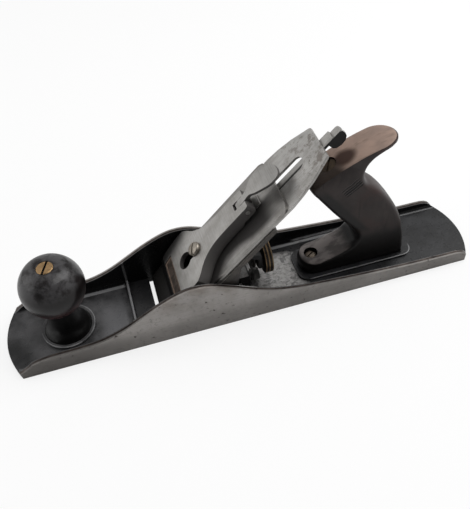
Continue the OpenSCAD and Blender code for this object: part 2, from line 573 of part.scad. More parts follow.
module lateral_roller() {
    color([0.55, 0.54, 0.52]) on_bed() translate([roller_s, 0, h_iron - 0.25]) difference() {
        cylinder(h = iron_t + 0.15, r = iron_slot_w / 2 - 0.08);
        translate([0, 0, -1]) cylinder(h = 10, r = 1.8 + pin_fit, $fn = 32);
    }
}
module lateral_pivot_rivet() {
    color([0.5, 0.5, 0.5]) on_bed() translate([pivot_s, 0, -5.6]) {
        cylinder(h = 5.3, r = 2, $fn = 32);
        cylinder(h = 1.9, r = 3.4, $fn = 32);
    }
}
module lever_cap_screw() {
    color([0.5, 0.42, 0.33]) on_bed() translate([capscrew_s, 0, lc_top + fit]) rotate([0, 0, 62])
        round_screw(3.5, lc_top + 9.5, 5.2, 3.2);
}

// Irons
module cutting_iron() {
    hw = iron_width / 2;
    t = iron_top_s;
    out = [[edge_s, hw], [t - 38, hw], [t - 28, hw - 1.2], [t - 16, hw - 4], [t - 4, hw - 8.4], [t - 1.2, hw - 9.4],
        [t, hw - 10.4]];
    color([0.55, 0.55, 0.54]) on_bed() difference() {
        translate([0, 0, h_iron]) linear_extrude(iron_t) polygon(concat(out, back(flip(out))));
        slab([[edge_s - 5, h_iron_top - 0.02 - 3], [edge_s + 4.2, h_iron - 1], [edge_s + 4.2, h_iron],
            [edge_s, h_iron_top], [edge_s - 5, h_iron_top]], -50, 50);
        translate([0, 0, -5]) round_slot(54, iron_top_s - 15.6 - iron_slot_w / 2, iron_slot_w / 2, 20);
        translate([54, 0, -5]) cylinder(h = 20, r = 7.4);
    }
}
module cap_iron() {
    hw = iron_width / 2;
    s0 = edge_s + 1.4;
    top = curve([[s0, h_cap + 0.25], [s0 + 2, h_cap + 3.4], [s0 + 6, h_cap + 5.1], [s0 + 10.5, hump_h - 0.25],
        [s0 + 14, hump_h]], 3);
    tail = curve([[s0 + 27, hump_h], [s0 + 31, hump_h - 0.6], [s0 + 37, hump_h - 2.2], [s0 + 43, h_cap_top + 0.35],
        [s0 + 48, h_cap_top]], 3);
    under = curve([[s0 + 48, h_cap], [s0 + 43, h_cap + 0.3], [s0 + 37, h_cap + 1.2], [s0 + 31, hump_h - cap_iron_t - 0.5],
        [s0 + 26, hump_h - cap_iron_t]], 3);
    under2 = curve([[s0 + 14, hump_h - cap_iron_t], [s0 + 10, hump_h - cap_iron_t - 0.3],
        [s0 + 6, h_cap + 2.2], [s0 + 3, h_cap + 0.9], [s0 + 0.8, h_cap]], 3);
    c = cap_top_s;
    color([0.58, 0.58, 0.57]) on_bed() difference() {
        intersection() {
            slab(concat(top, tail, [[c, h_cap_top], [c, h_cap]], under, under2), -hw, hw);
            linear_extrude(40) polygon([[s0 - 5, -hw], [c - 5, -hw], [c - 1.5, -hw + 1.5], [c, -hw + 5],
                [c, hw - 5], [c - 1.5, hw - 1.5], [c - 5, hw], [s0 - 5, hw]]);
        }
        round_slot(52, 62.5, 5.6, 20);
        translate([yoke_s - 2.38, -4.45, 0]) cube([4.76, 8.9, 20]);
        translate([ironscrew_s, 0, 0]) cylinder(h = 20, r = 3.1 + pin_fit, $fn = 40);
    }
}
module cap_iron_screw() {
    color([0.5, 0.47, 0.42]) on_bed() translate([ironscrew_s, 0, 0]) difference() {
        union() {
            translate([0, 0, -1]) cylinder(h = 1 + h_cap_top - 0.1, r = 3.1, $fn = 40);
            translate([0, 0, -3.6]) cylinder(h = 3.6, r = 6.5);
        }
        translate([-8, -0.8, -5]) cube([16, 1.6, 3]);
    }
}

// Lever cap: outline and side section, hollow below, keyhole and lever slot
cap_side = [[lip_s, hump_h + fit], [lip_s + 4, hump_h + fit], [lip_s + 7, hump_h + 0.7], [40, h_cap_top + 1.9],
    [46, h_cap_top + 1.1], [97, h_cap_top + 1.1], [99, h_cap_top + 2.6], [cap_end_s - 1.2, h_cap_top + 2.6],
    [cap_end_s, h_cap_top + 4], [cap_end_s, lc_top - 1.2], [cap_end_s - 1, lc_top]];
cap_crown = back(curve([[lip_s, hump_h + 2.3], [lip_s + 3, hump_h + 3.7], [lip_s + 9, hump_h + 5.2], [36, hump_h + 6.5],
    [44, lc_top - 0.35], [52, lc_top], [60, lc_top]], 3));
function cap_half(d) = curve([[52 - d * 0.3, cap_width / 2 - 0.2 - d], [56, cap_width / 2 - 3.2 - d],
    [60.5, cap_width / 2 - 7.8 - d], [65, cap_width / 2 - 11.2 - d], [71, cap_shank_hw + 2.1 - d],
    [78, cap_shank_hw + 0.6 - d], [86, cap_shank_hw + 0.1 - d], [94, cap_shank_hw - d]], 3);
module lever_cap() {
    out = concat([[lip_s, cap_width / 2 - 0.6], [lip_s + 0.6, cap_width / 2], [49, cap_width / 2]],
        cap_half(0), [[cap_end_s - 2.6, cap_shank_hw], [cap_end_s - 0.6, cap_shank_hw - 1], [cap_end_s, cap_shank_hw - 3]]);
    hollow = concat([[30, cap_width / 2 - 3.4], [47, cap_width / 2 - 3.4]], cap_half(3.4),
        [[98, cap_shank_hw - 3.4]]);
    color([0.6, 0.6, 0.58]) on_bed() difference() {
        intersection() {
            slab(concat(cap_side, cap_crown), -40, 40);
            linear_extrude(60) polygon(concat(out, back(flip(out))));
        }
        intersection() {
            linear_extrude(lc_top - 4.2) polygon(concat(hollow, back(flip(hollow))));
            slab([[29, 0], [30, hump_h + 1.9], [40, hump_h + 3.2], [52, lc_top - 4.2], [99, lc_top - 4.2], [99, 0]], -40, 40);
        }
        // Keyhole: wide end, then the narrow end that hooks under the screw
        translate([keyhole_s, 0, 0]) cylinder(h = 60, r = 6.4);
        round_slot(keyhole_s, capscrew_s + 0.3, 3.9, 60);
        // Slot for the cam lever
        translate([cam_s - 6.2, -3, 0]) cube([40, 6, 60]);
        bar_y([cam_s, cam_h], 1.6 + thread_fit, -30, 30, $fn = 32);
        translate([80, 0, lc_top - 6]) cylinder(h = 4.2, r = 1.5 + thread_fit, $fn = 32);
        // Recessed panel, bare, on the slope behind the lip
        slab([[24.4, hump_h + 3.8], [33.6, hump_h + 5.5], [33.6, hump_h + 9], [24.4, hump_h + 9]], -17.5, 17.5);
    }
}
module cam_lever() {
    s0 = cam_s;
    h0 = cam_h;
    p1 = s0 + pad_length;
    top = curve([[s0 + 1.5, h0 + 4.3], [s0 + 5.5, h0 + 4.8], [s0 + 9.5, h0 + 5.6], [s0 + 15, h0 + 6],
        [s0 + 21, h0 + 5.5], [s0 + 27, h0 + 4], [s0 + 33, h0 + 1.5], [s0 + 40, h0 - 2.2]], 3);
    low = [for (i = [0 : len(top) - 1]) top[i] - [-0.25, 2.5 - 0.5 * i / len(top)]];
    pad = curve([[s0 + 7, 2.75], [s0 + 10, 3.6], [s0 + 14, pad_hw - 3.2], [s0 + 20, pad_hw - 0.9],
        [p1 - 8, pad_hw], [p1 - 3, pad_hw - 2.2], [p1 - 0.6, pad_hw - 5.4], [p1, 0]], 4);
    color([0.6, 0.6, 0.58]) on_bed() difference() {
        union() {
            intersection() {
                slab(concat(top, back(low)), -30, 30);
                linear_extrude(60) polygon(concat([[s0, 2.75]], pad, back(flip(pad)), [[s0, -2.75]]));
            }
            // Tang and cam: the cam stands 0.7 off the pin, lowest while locked
            slab([[s0 + 1, h0 - 3], [s0 + 6, h0 - 1], [s0 + 7.4, h0 + 4.9], [s0 + 1, h0 + 4.25],
                [s0 - 4.6, h0 + 3.6], [s0 - 5.4, h0 + 1.5], [s0 - 4, h0 - 3]], -2.75, 2.75);
            bar_y([s0, h0 - 0.7], h0 - 0.7 - (h_cap_top + 0.9 + fit), -2.75, 2.75);
        }
        bar_y([s0, h0], 1.6 + pin_fit, -20, 20, $fn = 32);
    }
}
module cam_lever_pin() {
    color([0.55, 0.55, 0.55]) on_bed() bar_y([cam_s, cam_h], 1.6, -cap_shank_hw + 0.1, cap_shank_hw - 0.1, $fn = 32);
}
module lever_cap_spring() {
    a = h_cap_top + fit;
    u = lc_top - 4.2 - fit;
    color([0.52, 0.52, 0.5]) on_bed() difference() {
        slab(concat([[74, u - 0.8], [86, u - 0.8]], curve([[88, u - 1.1], [92, u - 3], [96, a + 1.1], [99, a + 0.1], [102, a]], 3),
            [[114, a], [115.5, a + 0.5], [115.1, a + 1.2], [114, a + 0.8]],
            curve([[102.2, a + 0.8], [99.4, a + 0.95], [96.6, a + 1.9], [92.4, u - 2.15], [88.3, u - 0.3]], 3),
            [[86, u], [74, u]]), -4.6, 4.6);
        translate([80, 0, 0]) cylinder(h = 40, r = 1.5 + thread_fit, $fn = 32);
    }
}
module spring_rivet() {
    color([0.5, 0.5, 0.5]) on_bed() translate([80, 0, lc_top - 4.2 - fit - 0.8 - fit]) {
        cylinder(h = 2.9, r = 1.5, $fn = 32);
        translate([0, 0, -1.1]) cylinder(h = 1.1, r = 2.8, $fn = 32);
    }
}

body_casting();
knob();
knob_rod();
knob_nut();
tote();
tote_rod();
tote_nut();
tote_toe_screw();
frog();
frog_screws();
frog_screw_washers();
frog_adjusting_screw();
frog_adjusting_clip();
frog_clip_screw();
adjusting_stud();
depth_adjusting_wheel();
adjusting_yoke();
yoke_pin_steel();  // yoke_pin
lateral_lever();
lateral_thumb_piece();
lateral_roller();
lateral_pivot_rivet();
lever_cap_screw();
cutting_iron();
cap_iron();
cap_iron_screw();
lever_cap();
cam_lever();
cam_lever_pin();
lever_cap_spring();
spring_rivet();
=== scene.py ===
"""Iron jack plane: japanned and ground castings, dark varnished wood, steel irons and brass fittings."""
import bpy
import bmesh
import json
import math
from mathutils import Matrix, Vector


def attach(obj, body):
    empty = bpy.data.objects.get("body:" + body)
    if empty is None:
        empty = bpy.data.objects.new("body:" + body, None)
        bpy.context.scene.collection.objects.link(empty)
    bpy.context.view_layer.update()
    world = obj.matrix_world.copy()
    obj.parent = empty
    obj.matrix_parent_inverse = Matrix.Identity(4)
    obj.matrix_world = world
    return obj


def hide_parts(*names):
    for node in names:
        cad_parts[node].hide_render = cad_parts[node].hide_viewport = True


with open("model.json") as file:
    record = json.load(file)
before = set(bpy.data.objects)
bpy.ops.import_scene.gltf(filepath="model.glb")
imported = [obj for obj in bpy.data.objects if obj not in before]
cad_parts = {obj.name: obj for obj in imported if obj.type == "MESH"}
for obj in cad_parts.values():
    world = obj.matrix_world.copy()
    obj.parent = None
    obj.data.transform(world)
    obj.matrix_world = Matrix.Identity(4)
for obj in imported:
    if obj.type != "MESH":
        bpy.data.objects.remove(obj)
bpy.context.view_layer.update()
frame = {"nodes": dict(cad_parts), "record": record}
nodes = frame["nodes"]
scene = bpy.context.scene

# Landmarks in metres: the mouth, the floor's rib, the knob, the screw in the tote's toe, the end of the tote's seat
MOUTH_X, RIB_X, KNOB_X, TOE_SCREW_X, SEAT_END_X = -0.063, -0.0852, -0.133, 0.054, 0.1245
# The bed slopes at 45 degrees
ROOT_HALF = math.sqrt(0.5)


# ---------------------------------------------------------------- camera and lamps

def camera_at(place, right, up, lens):
    """The photograph's camera from its place and its right and up directions."""
    right = Vector(right).normalized()
    up = Vector(up)
    up = (up - right * up.dot(right)).normalized()
    back = right.cross(up)
    turn = Matrix((right, up, back)).transposed().to_4x4()
    cam = bpy.data.objects.new("camera", bpy.data.cameras.new("camera"))
    cam.matrix_world = Matrix.Translation(place) @ turn
    cam.data.sensor_fit = "HORIZONTAL"
    cam.data.sensor_width = 36.0
    cam.data.lens = lens
    cam.data.clip_start = 0.01
    scene.collection.objects.link(cam)
    scene.camera = cam


def lamp(name, place, aim, size, watts):
    """Rectangular area lamp at a place, turned to a point."""
    light = bpy.data.lights.new(name, "AREA")
    light.shape = "RECTANGLE"
    light.size, light.size_y = size
    light.energy = watts
    ob = bpy.data.objects.new(name, light)
    ob.location = place
    ob.rotation_euler = (Vector(aim) - Vector(place)).to_track_quat("-Z", "Y").to_euler()
    scene.collection.objects.link(ob)


# ---------------------------------------------------------------- shader maths

class Value:
    """A shader socket that takes part in Python expressions."""

    def __init__(self, shader, socket):
        self.shader, self.socket = shader, socket

    def maths(self, operation, a, b=0.0):
        return self.shader.node("ShaderNodeMath", {"operation": operation}, {0: a, 1: b})

    def __add__(self, other):
        return self.maths("ADD", self, other)

    def __sub__(self, other):
        return self.maths("SUBTRACT", self, other)

    def __rsub__(self, other):
        return self.maths("SUBTRACT", other, self)

    def __mul__(self, other):
        return self.maths("MULTIPLY", self, other)

    def __abs__(self):
        return self.maths("ABSOLUTE", self)

    __radd__, __rmul__ = __add__, __mul__

    def least(self, other):
        return self.maths("MINIMUM", self, other)

    def most(self, other):
        return self.maths("MAXIMUM", self, other)

    def between(self, low, high):
        """0 below low, 1 above high, eased in between; low may be the larger."""
        if low > high:
            return 1.0 - self.between(high, low)
        return self.shader.node("ShaderNodeMapRange", {"interpolation_type": "SMOOTHSTEP"},
                                {0: self, 1: low, 2: high})


class Shader:
    """The emptied node tree of a material or a world; all its nodes come from one method."""

    def __init__(self, owner):
        owner.use_nodes = True
        self.tree = owner.node_tree
        self.tree.nodes.clear()

    def node(self, kind, settings, sockets, out=0):
        """A node with its settings, its inputs from values, colours or numbers, and one of its outputs, if any."""
        made = self.tree.nodes.new(kind)
        for key, value in settings.items():
            setattr(made, key, value)
        for key, value in sockets.items():
            if isinstance(value, Value):
                self.tree.links.new(value.socket, made.inputs[key])
            elif isinstance(value, tuple) and made.inputs[key].type == "RGBA":
                made.inputs[key].default_value = (*value, 1)
            else:
                made.inputs[key].default_value = value
        return None if out is None else Value(self, made.outputs[out])


class Finish(Shader):
    """A material whose surface one Principled shader makes, with the place and the facing of each point.

    s goes up the bed from the mouth, h square to it; nh is how far a face looks out of the bed."""

    def __init__(self, name):
        self.material = bpy.data.materials.new(name)
        super().__init__(self.material)
        self.place = self.node("ShaderNodeTexCoord", {}, {}, "Object")
        self.x, self.y, self.z = (self.node("ShaderNodeSeparateXYZ", {}, {0: self.place}, k) for k in range(3))
        facing = self.node("ShaderNodeTexCoord", {}, {}, "Normal")
        self.nx, self.ny, self.nz = (self.node("ShaderNodeSeparateXYZ", {}, {0: facing}, k) for k in range(3))
        self.s = (self.x - MOUTH_X + self.z) * ROOT_HALF
        self.h = (self.z - self.x + MOUTH_X) * ROOT_HALF
        self.nh = (self.nz - self.nx) * ROOT_HALF

    def blend(self, share, a, b):
        """Colour a where share is 0, colour b where it is 1."""
        return self.node("ShaderNodeMix", {"data_type": "RGBA"}, {0: share, 6: a, 7: b}, 2)

    def vector(self, x, y, z):
        return self.node("ShaderNodeCombineXYZ", {}, {0: x, 1: y, 2: z})

    def grain(self, scale, detail=3.0, rough=0.55, at=None, distort=0.0):
        """Noise with scale features to the metre, at the place or at another vector."""
        return self.node("ShaderNodeTexNoise", {}, {"Vector": at or self.place, "Scale": scale, "Detail": detail,
                                                    "Roughness": rough, "Distortion": distort})

    def stretched(self, scale, along, squash):
        """Noise drawn out along one direction: 'x', 'y' or 's' for up the bed."""
        x, y, z = self.x, self.y, self.z
        if along == "s":
            x, z = (x + z) * ROOT_HALF, (z - x) * ROOT_HALF
        if along == "y":
            y = y * squash
        else:
            x = x * squash
        return self.grain(scale, 2.0, 0.5, self.vector(x, y, z))

    def bump(self, height, depth):
        """Relief of the given depth in metres."""
        return self.node("ShaderNodeBump", {}, {"Height": height, "Distance": depth, "Strength": 1.0})

    def surface(self, **sockets):
        """The Principled shader; names use _ for a space."""
        shader = self.node("ShaderNodeBsdfPrincipled", {}, {k.replace("_", " "): v for k, v in sockets.items()})
        self.node("ShaderNodeOutputMaterial", {}, {"Surface": shader}, None)
        return self.material


# ---------------------------------------------------------------- finishes

# Inner and outer face of the side walls in metres
WALL_INNER, WALL_OUTER = 0.0274, 0.031
# Depth wheel: its axis in metres; its radius, the fork's groove, the rim's front and rear in mm
WHEEL_Z, WHEEL_R, FORK_X = 0.030, 14.0, 11.201
WHEEL_X = FORK_X + 3.3
WHEEL_END = WHEEL_X + 6.0
# Turn of the slot in the knob's nut, as in the photograph and as in the CAD
NUT_TURN, CAD_NUT_TURN = math.radians(68), math.radians(96)


def ground_iron_colour(f):
    """Bare iron of the sole's sides: grey with grinding lines and dark pits, browner at the crest, darker low down."""
    lines = f.stretched(900, "x", 0.05)
    cloud = f.grain(38, 4)
    grey = f.blend(cloud.between(0.3, 0.75), (0.335, 0.318, 0.303), (0.245, 0.232, 0.22))
    grey = f.blend(lines.between(0.35, 0.8) * 0.16, grey, (0.10, 0.095, 0.088))
    grey = f.blend(f.grain(330, 4, 0.7).between(0.5, 0.7) * 0.35, grey, (0.115, 0.108, 0.10))
    pits = f.grain(330, 3, 0.6).between(0.63, 0.68) * f.grain(60, 2).between(0.42, 0.6)
    grey = f.blend(pits * 0.9, grey, (0.03, 0.024, 0.02))
    ends = abs(f.x).between(0.10, 0.15) * 0.15 + f.x.between(-0.08, -0.13) * 0.30
    low = f.z.between(0.022, 0.010) * f.z.between(0.0001, 0.0006) * (0.45 + ends)
    grey = f.blend(low, grey, (0.085, 0.079, 0.074))
    bloom = f.z.between(0.024, 0.046) * f.grain(70, 4).between(0.35, 0.7) * 0.5
    return f.blend(bloom, grey, (0.13, 0.098, 0.076)), pits, lines


def cast_body():
    """Sole casting: black japanning inside, worn silvery behind the frog; ground iron outside and below."""
    f = Finish("japanned_and_ground_iron")
    side = abs(f.y)
    # What is painted and what is bare
    outside = side.between(WALL_INNER + 0.0002, WALL_INNER + 0.0009)
    rim = side.between(WALL_OUTER - 0.0017, WALL_OUTER - 0.0008)
    under = f.z.between(0.0008, 0.0002)
    bare = outside.most(under)
    iron, pits, lines = ground_iron_colour(f)
    edge_brown = f.blend(f.grain(160, 3).between(0.35, 0.65), (0.022, 0.017, 0.015), (0.062, 0.05, 0.044))
    iron = f.blend(outside * (1.0 - rim), iron, edge_brown)
    # Japanning, dusty on level faces but for the strip between rib and mouth; lighter toward the toe as painted light
    level = f.nz.between(0.6, 0.9)
    cloud = f.grain(45, 4)
    dust_and_light = f.blend(f.x.between(-0.12, 0.08), (0.095, 0.093, 0.096), (0.026, 0.0264, 0.0285))
    clean = f.x.between(RIB_X + 0.0002, RIB_X + 0.0017) * f.x.between(-0.052, -0.060) * 0.85
    black = f.blend(level * cloud.between(0.3, 0.7) * 0.8 * (1.0 - clean), (0.0065, 0.0065, 0.007), dust_and_light)
    black = f.blend(f.grain(700, 4, 0.7).between(0.68, 0.8) * 0.2, black, (0.07, 0.065, 0.06))
    # Painted highlights along edges: the rib, the knob's ring, the edge and round end of the tote's seat, the floor's
    # corner
    rib = abs(f.x - RIB_X).between(0.0011, 0.0006) * f.z.between(0.0053, 0.0058)
    ring_in, ring_out, corner_r, seat_half, line = 0.0187, 0.0200, 0.0076, 0.0153, 0.0003
    across, along = f.x - KNOB_X, f.x - SEAT_END_X
    ring = across * across + f.y * f.y
    ring = ring.between(ring_in ** 2, (ring_in + line) ** 2) * ring.between(ring_out ** 2, (ring_out - line) ** 2)
    near_half = (f.x + f.y.between(0.002, -0.006) * 0.1).between(-0.128, -0.122)
    ring = ring * near_half * (0.22 + cloud.between(0.4, 0.6) * 0.5)
    beyond = (side - corner_r).most(0.0)
    corner = along * along + beyond * beyond
    corner = corner.between((corner_r - line) ** 2, corner_r ** 2) * along.between(-0.0004, 0.0004)
    corner = corner * f.y.between(-0.005, -0.010)
    seat = side.between(seat_half - line, seat_half) * f.x.between(0.046, 0.052) * along.between(0.0003, -0.0005)
    raised = f.z.between(0.0055, 0.0058) * f.z.between(0.0075, 0.0070)
    fillet = (side.between(0.0239, 0.0242) * f.z.between(0.0055, 0.0050) * f.x.between(0.095, 0.08)
              * f.x.between(-0.150, -0.145) * abs(f.x + 0.04).between(0.045, 0.048))
    edge = (ring.most(seat).most(corner) * raised).most(fillet * 0.6).most(rib * 0.55)
    black = f.blend(edge * f.grain(90, 3).between(0.15, 0.45) * 0.9, black, (0.30, 0.30, 0.305))
    # Worn to bare metal behind the frog; a painted sheen beside the rib
    fade = f.grain(130, 5, 0.6, distort=0.5)
    behind_frog = (f.x.between(-0.020, -0.008) * f.x.between(0.054, 0.036) * f.y.between(0.027, 0.010)
                   * f.z.between(0.0075, 0.0055).most(f.x.between(-0.014, -0.009) * f.x.between(0.004, 0.002)))
    worn = level * (behind_frog + fade * 0.9 - 0.45).between(0.30, 0.46) * behind_frog
    silver = f.blend(f.grain(420, 4).between(0.35, 0.7), (0.42, 0.41, 0.40), (0.25, 0.243, 0.235))
    left = f.grain(170, 4, 0.6, distort=0.5).between(0.52, 0.60) * f.x.between(-0.004, 0.008)
    black = f.blend(worn, black, f.blend(left * 0.62, silver, (0.06, 0.06, 0.061)))
    # Painted sheen: a paler grey on the level floor between the knob's ring and the rib
    sheen_by_rib = (f.x.between(-0.113, -0.103) * f.x.between(-0.0885, -0.092) * f.z.between(0.0075, 0.0055)
              * f.y.between(0.024, -0.012) * level)
    black = f.blend(sheen_by_rib * (0.55 + fade * 0.45), black, (0.115, 0.115, 0.12))
    rough = f.grain(300, 3) * 0.14
    coat = (1.0 - bare) * (1.0 - worn * 0.8)
    relief = f.grain(620, 4, 0.6) * 0.5 + f.grain(140, 3) * 0.8
    height = relief * (1.0 - bare) - (pits * 0.8 + lines * 0.08) * bare + worn * 0.15
    return f.surface(Base_Color=f.blend(bare, black, iron), Metallic=bare * 0.75 + worn * 0.25,
                     Roughness=(0.40 + rough) * bare + (0.22 + rough) * coat + worn * 0.32,
                     Specular_IOR_Level=0.28, Coat_Weight=level * (1.0 - bare) * 0.2, Coat_Roughness=0.3,
                     Normal=f.bump(height, 0.0002))


def dark_wood(name, dark, red, gloss, wear_and_light):
    """Varnished dark hardwood with long pores; the last argument gives where it is worn, its colour with painted light
    in it, and its dents.
    """
    f = Finish(name)
    fibre = f.grain(55, 5, 0.6, f.vector(f.x, f.y * 6.0, f.z * 0.45), 0.8)
    pores = f.grain(420, 2, 0.5, f.vector(f.x, f.y, f.z * 0.08))
    base = f.blend(fibre.between(0.35, 0.72), dark, red)
    base = f.blend(pores.between(0.60, 0.72) * 0.5, base, tuple(c * 0.5 for c in dark))
    worn, base, dents = wear_and_light(f, base)
    rough = 0.24 + f.grain(130, 3) * 0.14 + (1.0 - gloss) * 0.2 + worn * 0.2
    height = pores * -0.2 + f.grain(30, 2) * 0.9 - dents * 1.4
    return f.surface(Base_Color=base, Roughness=rough, Specular_IOR_Level=0.12 + 0.08 * gloss,
                     Coat_Weight=0.14 * gloss, Coat_Roughness=0.16, Normal=f.bump(height, 0.00018))


def knob_wear_and_sheen(f, base):
    """Redder under the ball, nearly black neck, dusty grey with a painted sheen and scuffs on the crown, small dents.
    """
    base = f.blend(f.z.between(0.050, 0.041) * f.z.between(0.031, 0.036) * 0.9, base, (0.034, 0.0155, 0.0165))
    base = f.blend(f.z.between(0.035, 0.031), base, (0.003, 0.0028, 0.0028))
    # Dusty grey on the crown, also a painted sheen on the ball's top
    dust_and_light = f.grain(110, 5, 0.65).between(0.38, 0.62) * f.z.between(0.0555, 0.064) * 0.75
    base = f.blend(dust_and_light, base, (0.068, 0.066, 0.068))
    dents = f.grain(190, 3).between(0.70, 0.76)
    scuffs = f.grain(70, 5, 0.65, distort=1.2).between(0.60, 0.70) * f.z.between(0.055, 0.066)
    return scuffs * 0.7, f.blend(scuffs * 0.3, base, (0.06, 0.055, 0.055)), dents


def handle_wear_and_light(f, base):
    """The tote's top is rubbed to a grey brown, stained dark by the nut; front black with painted shade, foot black,
    toe pale with painted light, gouges near.
    """
    top = (f.nz - f.nx * 0.6).between(0.5, 0.66) * f.z.between(0.083, 0.089) * (1.0 - abs(f.ny)).between(0.12, 0.3)
    rubbed = f.blend(f.grain(60, 4).between(0.3, 0.7), (0.285, 0.203, 0.163), (0.205, 0.15, 0.124))
    rubbed = f.blend(f.grain(300, 3, 0.5, f.vector(f.x * 0.3, f.y, f.z * 0.3)).between(0.5, 0.7) * 0.35, rubbed,
                     (0.085, 0.060, 0.048))
    # Stain round the nut
    stain_x, stain_y = (f.x - 0.0740) * 0.85, f.y + 0.0028
    stain = stain_x * stain_x + stain_y * stain_y + f.grain(110, 3) * 0.00002
    rubbed = f.blend(stain.between(0.000080, 0.000024) * 0.94, rubbed, (0.026, 0.011, 0.007))
    rubbed = f.blend((f.x + f.y * 0.35).between(0.0705, 0.0625) * 0.92, rubbed, (0.016, 0.012, 0.010))
    base = f.blend(f.grain(34, 3).between(0.42, 0.7) * 0.5 * f.z.between(0.03, 0.06), base, (0.045, 0.036, 0.034))
    redder = f.grain(48, 4).between(0.45, 0.62) * f.x.between(0.078, 0.092) * f.z.between(0.036, 0.05)
    base = f.blend(redder * 0.55, base, (0.040, 0.021, 0.018))
    height = f.z + f.grain(40, 2) * 0.006 + (f.x - 0.092).least(0.0) * 0.36
    base = f.blend(height.between(0.044, 0.033) * 0.88, base, (0.0055, 0.0052, 0.0052))
    # Painted shade: the front band and the faces that look forward are near black below the top
    front = (f.x + f.z * 0.74).between(0.1262, 0.1218) * f.z.between(0.036, 0.046)
    front = front.most(f.nx.between(-0.3, -0.62)) * f.z.between(0.092, 0.082)
    base = f.blend(front * 0.85, base, (0.005, 0.0048, 0.0048))
    # Painted light: the upward faces of the tote's toe are pale, in streaks
    toe = f.nz.between(0.55, 0.8) * f.z.between(0.036, 0.028)
    toe = toe * f.x.between(0.044, 0.048) * f.x.between(0.084, 0.075)
    streaks = f.grain(150, 4, 0.6, f.vector(f.x * 0.5, f.y, f.z * 0.5))
    base = f.blend(toe * (0.50 + streaks.between(0.4, 0.6) * 0.50), base, (0.185, 0.165, 0.158))
    # Gouges across the near side below the horn, each with a pale lip
    across, up = f.x - 0.0782, f.z - 0.0862
    along, over = across * 0.80 + up * 0.60, up * 0.80 - across * 0.60
    near = f.ny.between(-0.6, -0.85) * along.between(-0.0085, -0.0065) * along.between(0.0075, 0.0055)
    wander = over + f.grain(120, 2) * 0.0022 - 0.0011
    gouges = 0.0
    for place, width in ((-0.0030, 0.0006), (-0.0008, 0.0009), (0.0011, 0.0007), (0.0036, 0.0005)):
        gouges = abs(wander - place).between(width, width * 0.5).most(gouges)
        pale_lip = abs(wander - place - 0.0006).between(0.00035, 0.0001) * near * 0.5
        base = f.blend(pale_lip, base, (0.085, 0.078, 0.075))
    gouges = gouges * near
    base = f.blend(gouges, base, (0.002, 0.002, 0.002))
    return top, f.blend(top, base, rubbed), gouges


def steel(name, light, dark, along, rust=0.0, rough=0.34, metallic=0.85, spots=0.0, over=None):
    """Bare steel with fine lines along one direction, clouds of tarnish and rust speckles; over is a function
    that gives the share of painted shade, with patina in places, and its colour."""
    f = Finish(name)
    lines = f.stretched(1400, along, 0.04)
    cloud = f.grain(70, 4, 0.6)
    base = f.blend(cloud.between(0.3, 0.72), light, dark)
    base = f.blend(lines.between(0.4, 0.75) * 0.25, base, tuple(c * 0.55 for c in dark))
    place = f.s.between(0.122, 0.168) * rust + spots
    speckle = f.grain(520, 2, 0.55).between(0.62, 0.70) * f.grain(105, 3).between(0.42, 0.58)
    marks = (speckle * place).least(0.85)
    blotch = f.grain(120, 5, 0.72).between(0.50, 0.61) * place * 0.8
    base = f.blend(marks.most(blotch * 0.8).least(0.7), base, (0.105, 0.083, 0.068))
    painted = 0.0
    if over:
        painted, colour = over(f)
        base = f.blend(painted, base, colour)
        metallic = (1.0 - painted) * metallic
    return f.surface(Base_Color=base, Metallic=metallic - marks * 0.6, Roughness=rough + cloud * 0.14 + marks * 0.3,
                     Specular_IOR_Level=0.14 if over else 0.5,
                     Normal=f.bump(lines * 0.35 - marks * 1.2 + cloud * 0.3, 0.00008))


def cap_paint(f):
    """Lever cap: flanks and lip black with painted shade, greying up the flanks, a recessed panel in brown
    patina with a paler frame, painted shade by the far wall.
    """
    # Painted shade: the near flanks, faces turned off the cap's top and the rear end; the lip and the low far side go
    # black
    flank = ((1.0 - f.nh).between(0.22, 0.5) * f.ny.between(0.05, -0.15)).most((1.0 - f.nh).between(0.6, 0.85))
    flank = flank.most(((f.nx + f.nz) * ROOT_HALF).between(0.12, 0.35) * f.s.between(0.122, 0.118))
    lip = f.s.between(0.0262, 0.0238)
    far = (f.s.between(0.064, 0.030) * 0.006 + f.y).between(0.014, 0.0275) * f.s.between(0.066, 0.050) * 0.93
    # The panel's low and high end up the bed and its half width, then the same inside its frame
    panel, inner = (f.s.between(low, low + soft) * f.s.between(high, high - soft) * abs(f.y).between(half, half - soft)
                    for low, high, half, soft in ((0.0243, 0.0337, 0.0176, 0.0003), (0.0256, 0.0324, 0.0163, 0.0004)))
    frame_colour = f.blend(f.grain(380, 3).between(0.35, 0.65), (0.22, 0.162, 0.128), (0.13, 0.094, 0.073))
    inside = f.blend(f.grain(300, 4).between(0.35, 0.65), (0.085, 0.065, 0.053), (0.040, 0.031, 0.026))
    # The flanks' painted shade is black low down and grey higher up
    height = (f.h + f.grain(60, 3) * 0.003).between(0.004, 0.0105)
    flank_shade_colour = f.blend(height, (0.007, 0.007, 0.007), (0.082, 0.077, 0.074))
    black = f.blend(lip.most(far), flank_shade_colour, (0.006, 0.006, 0.006))
    colour = f.blend(panel, black, f.blend(inner, frame_colour, inside))
    return flank.most(lip).most(far).most(panel), colour


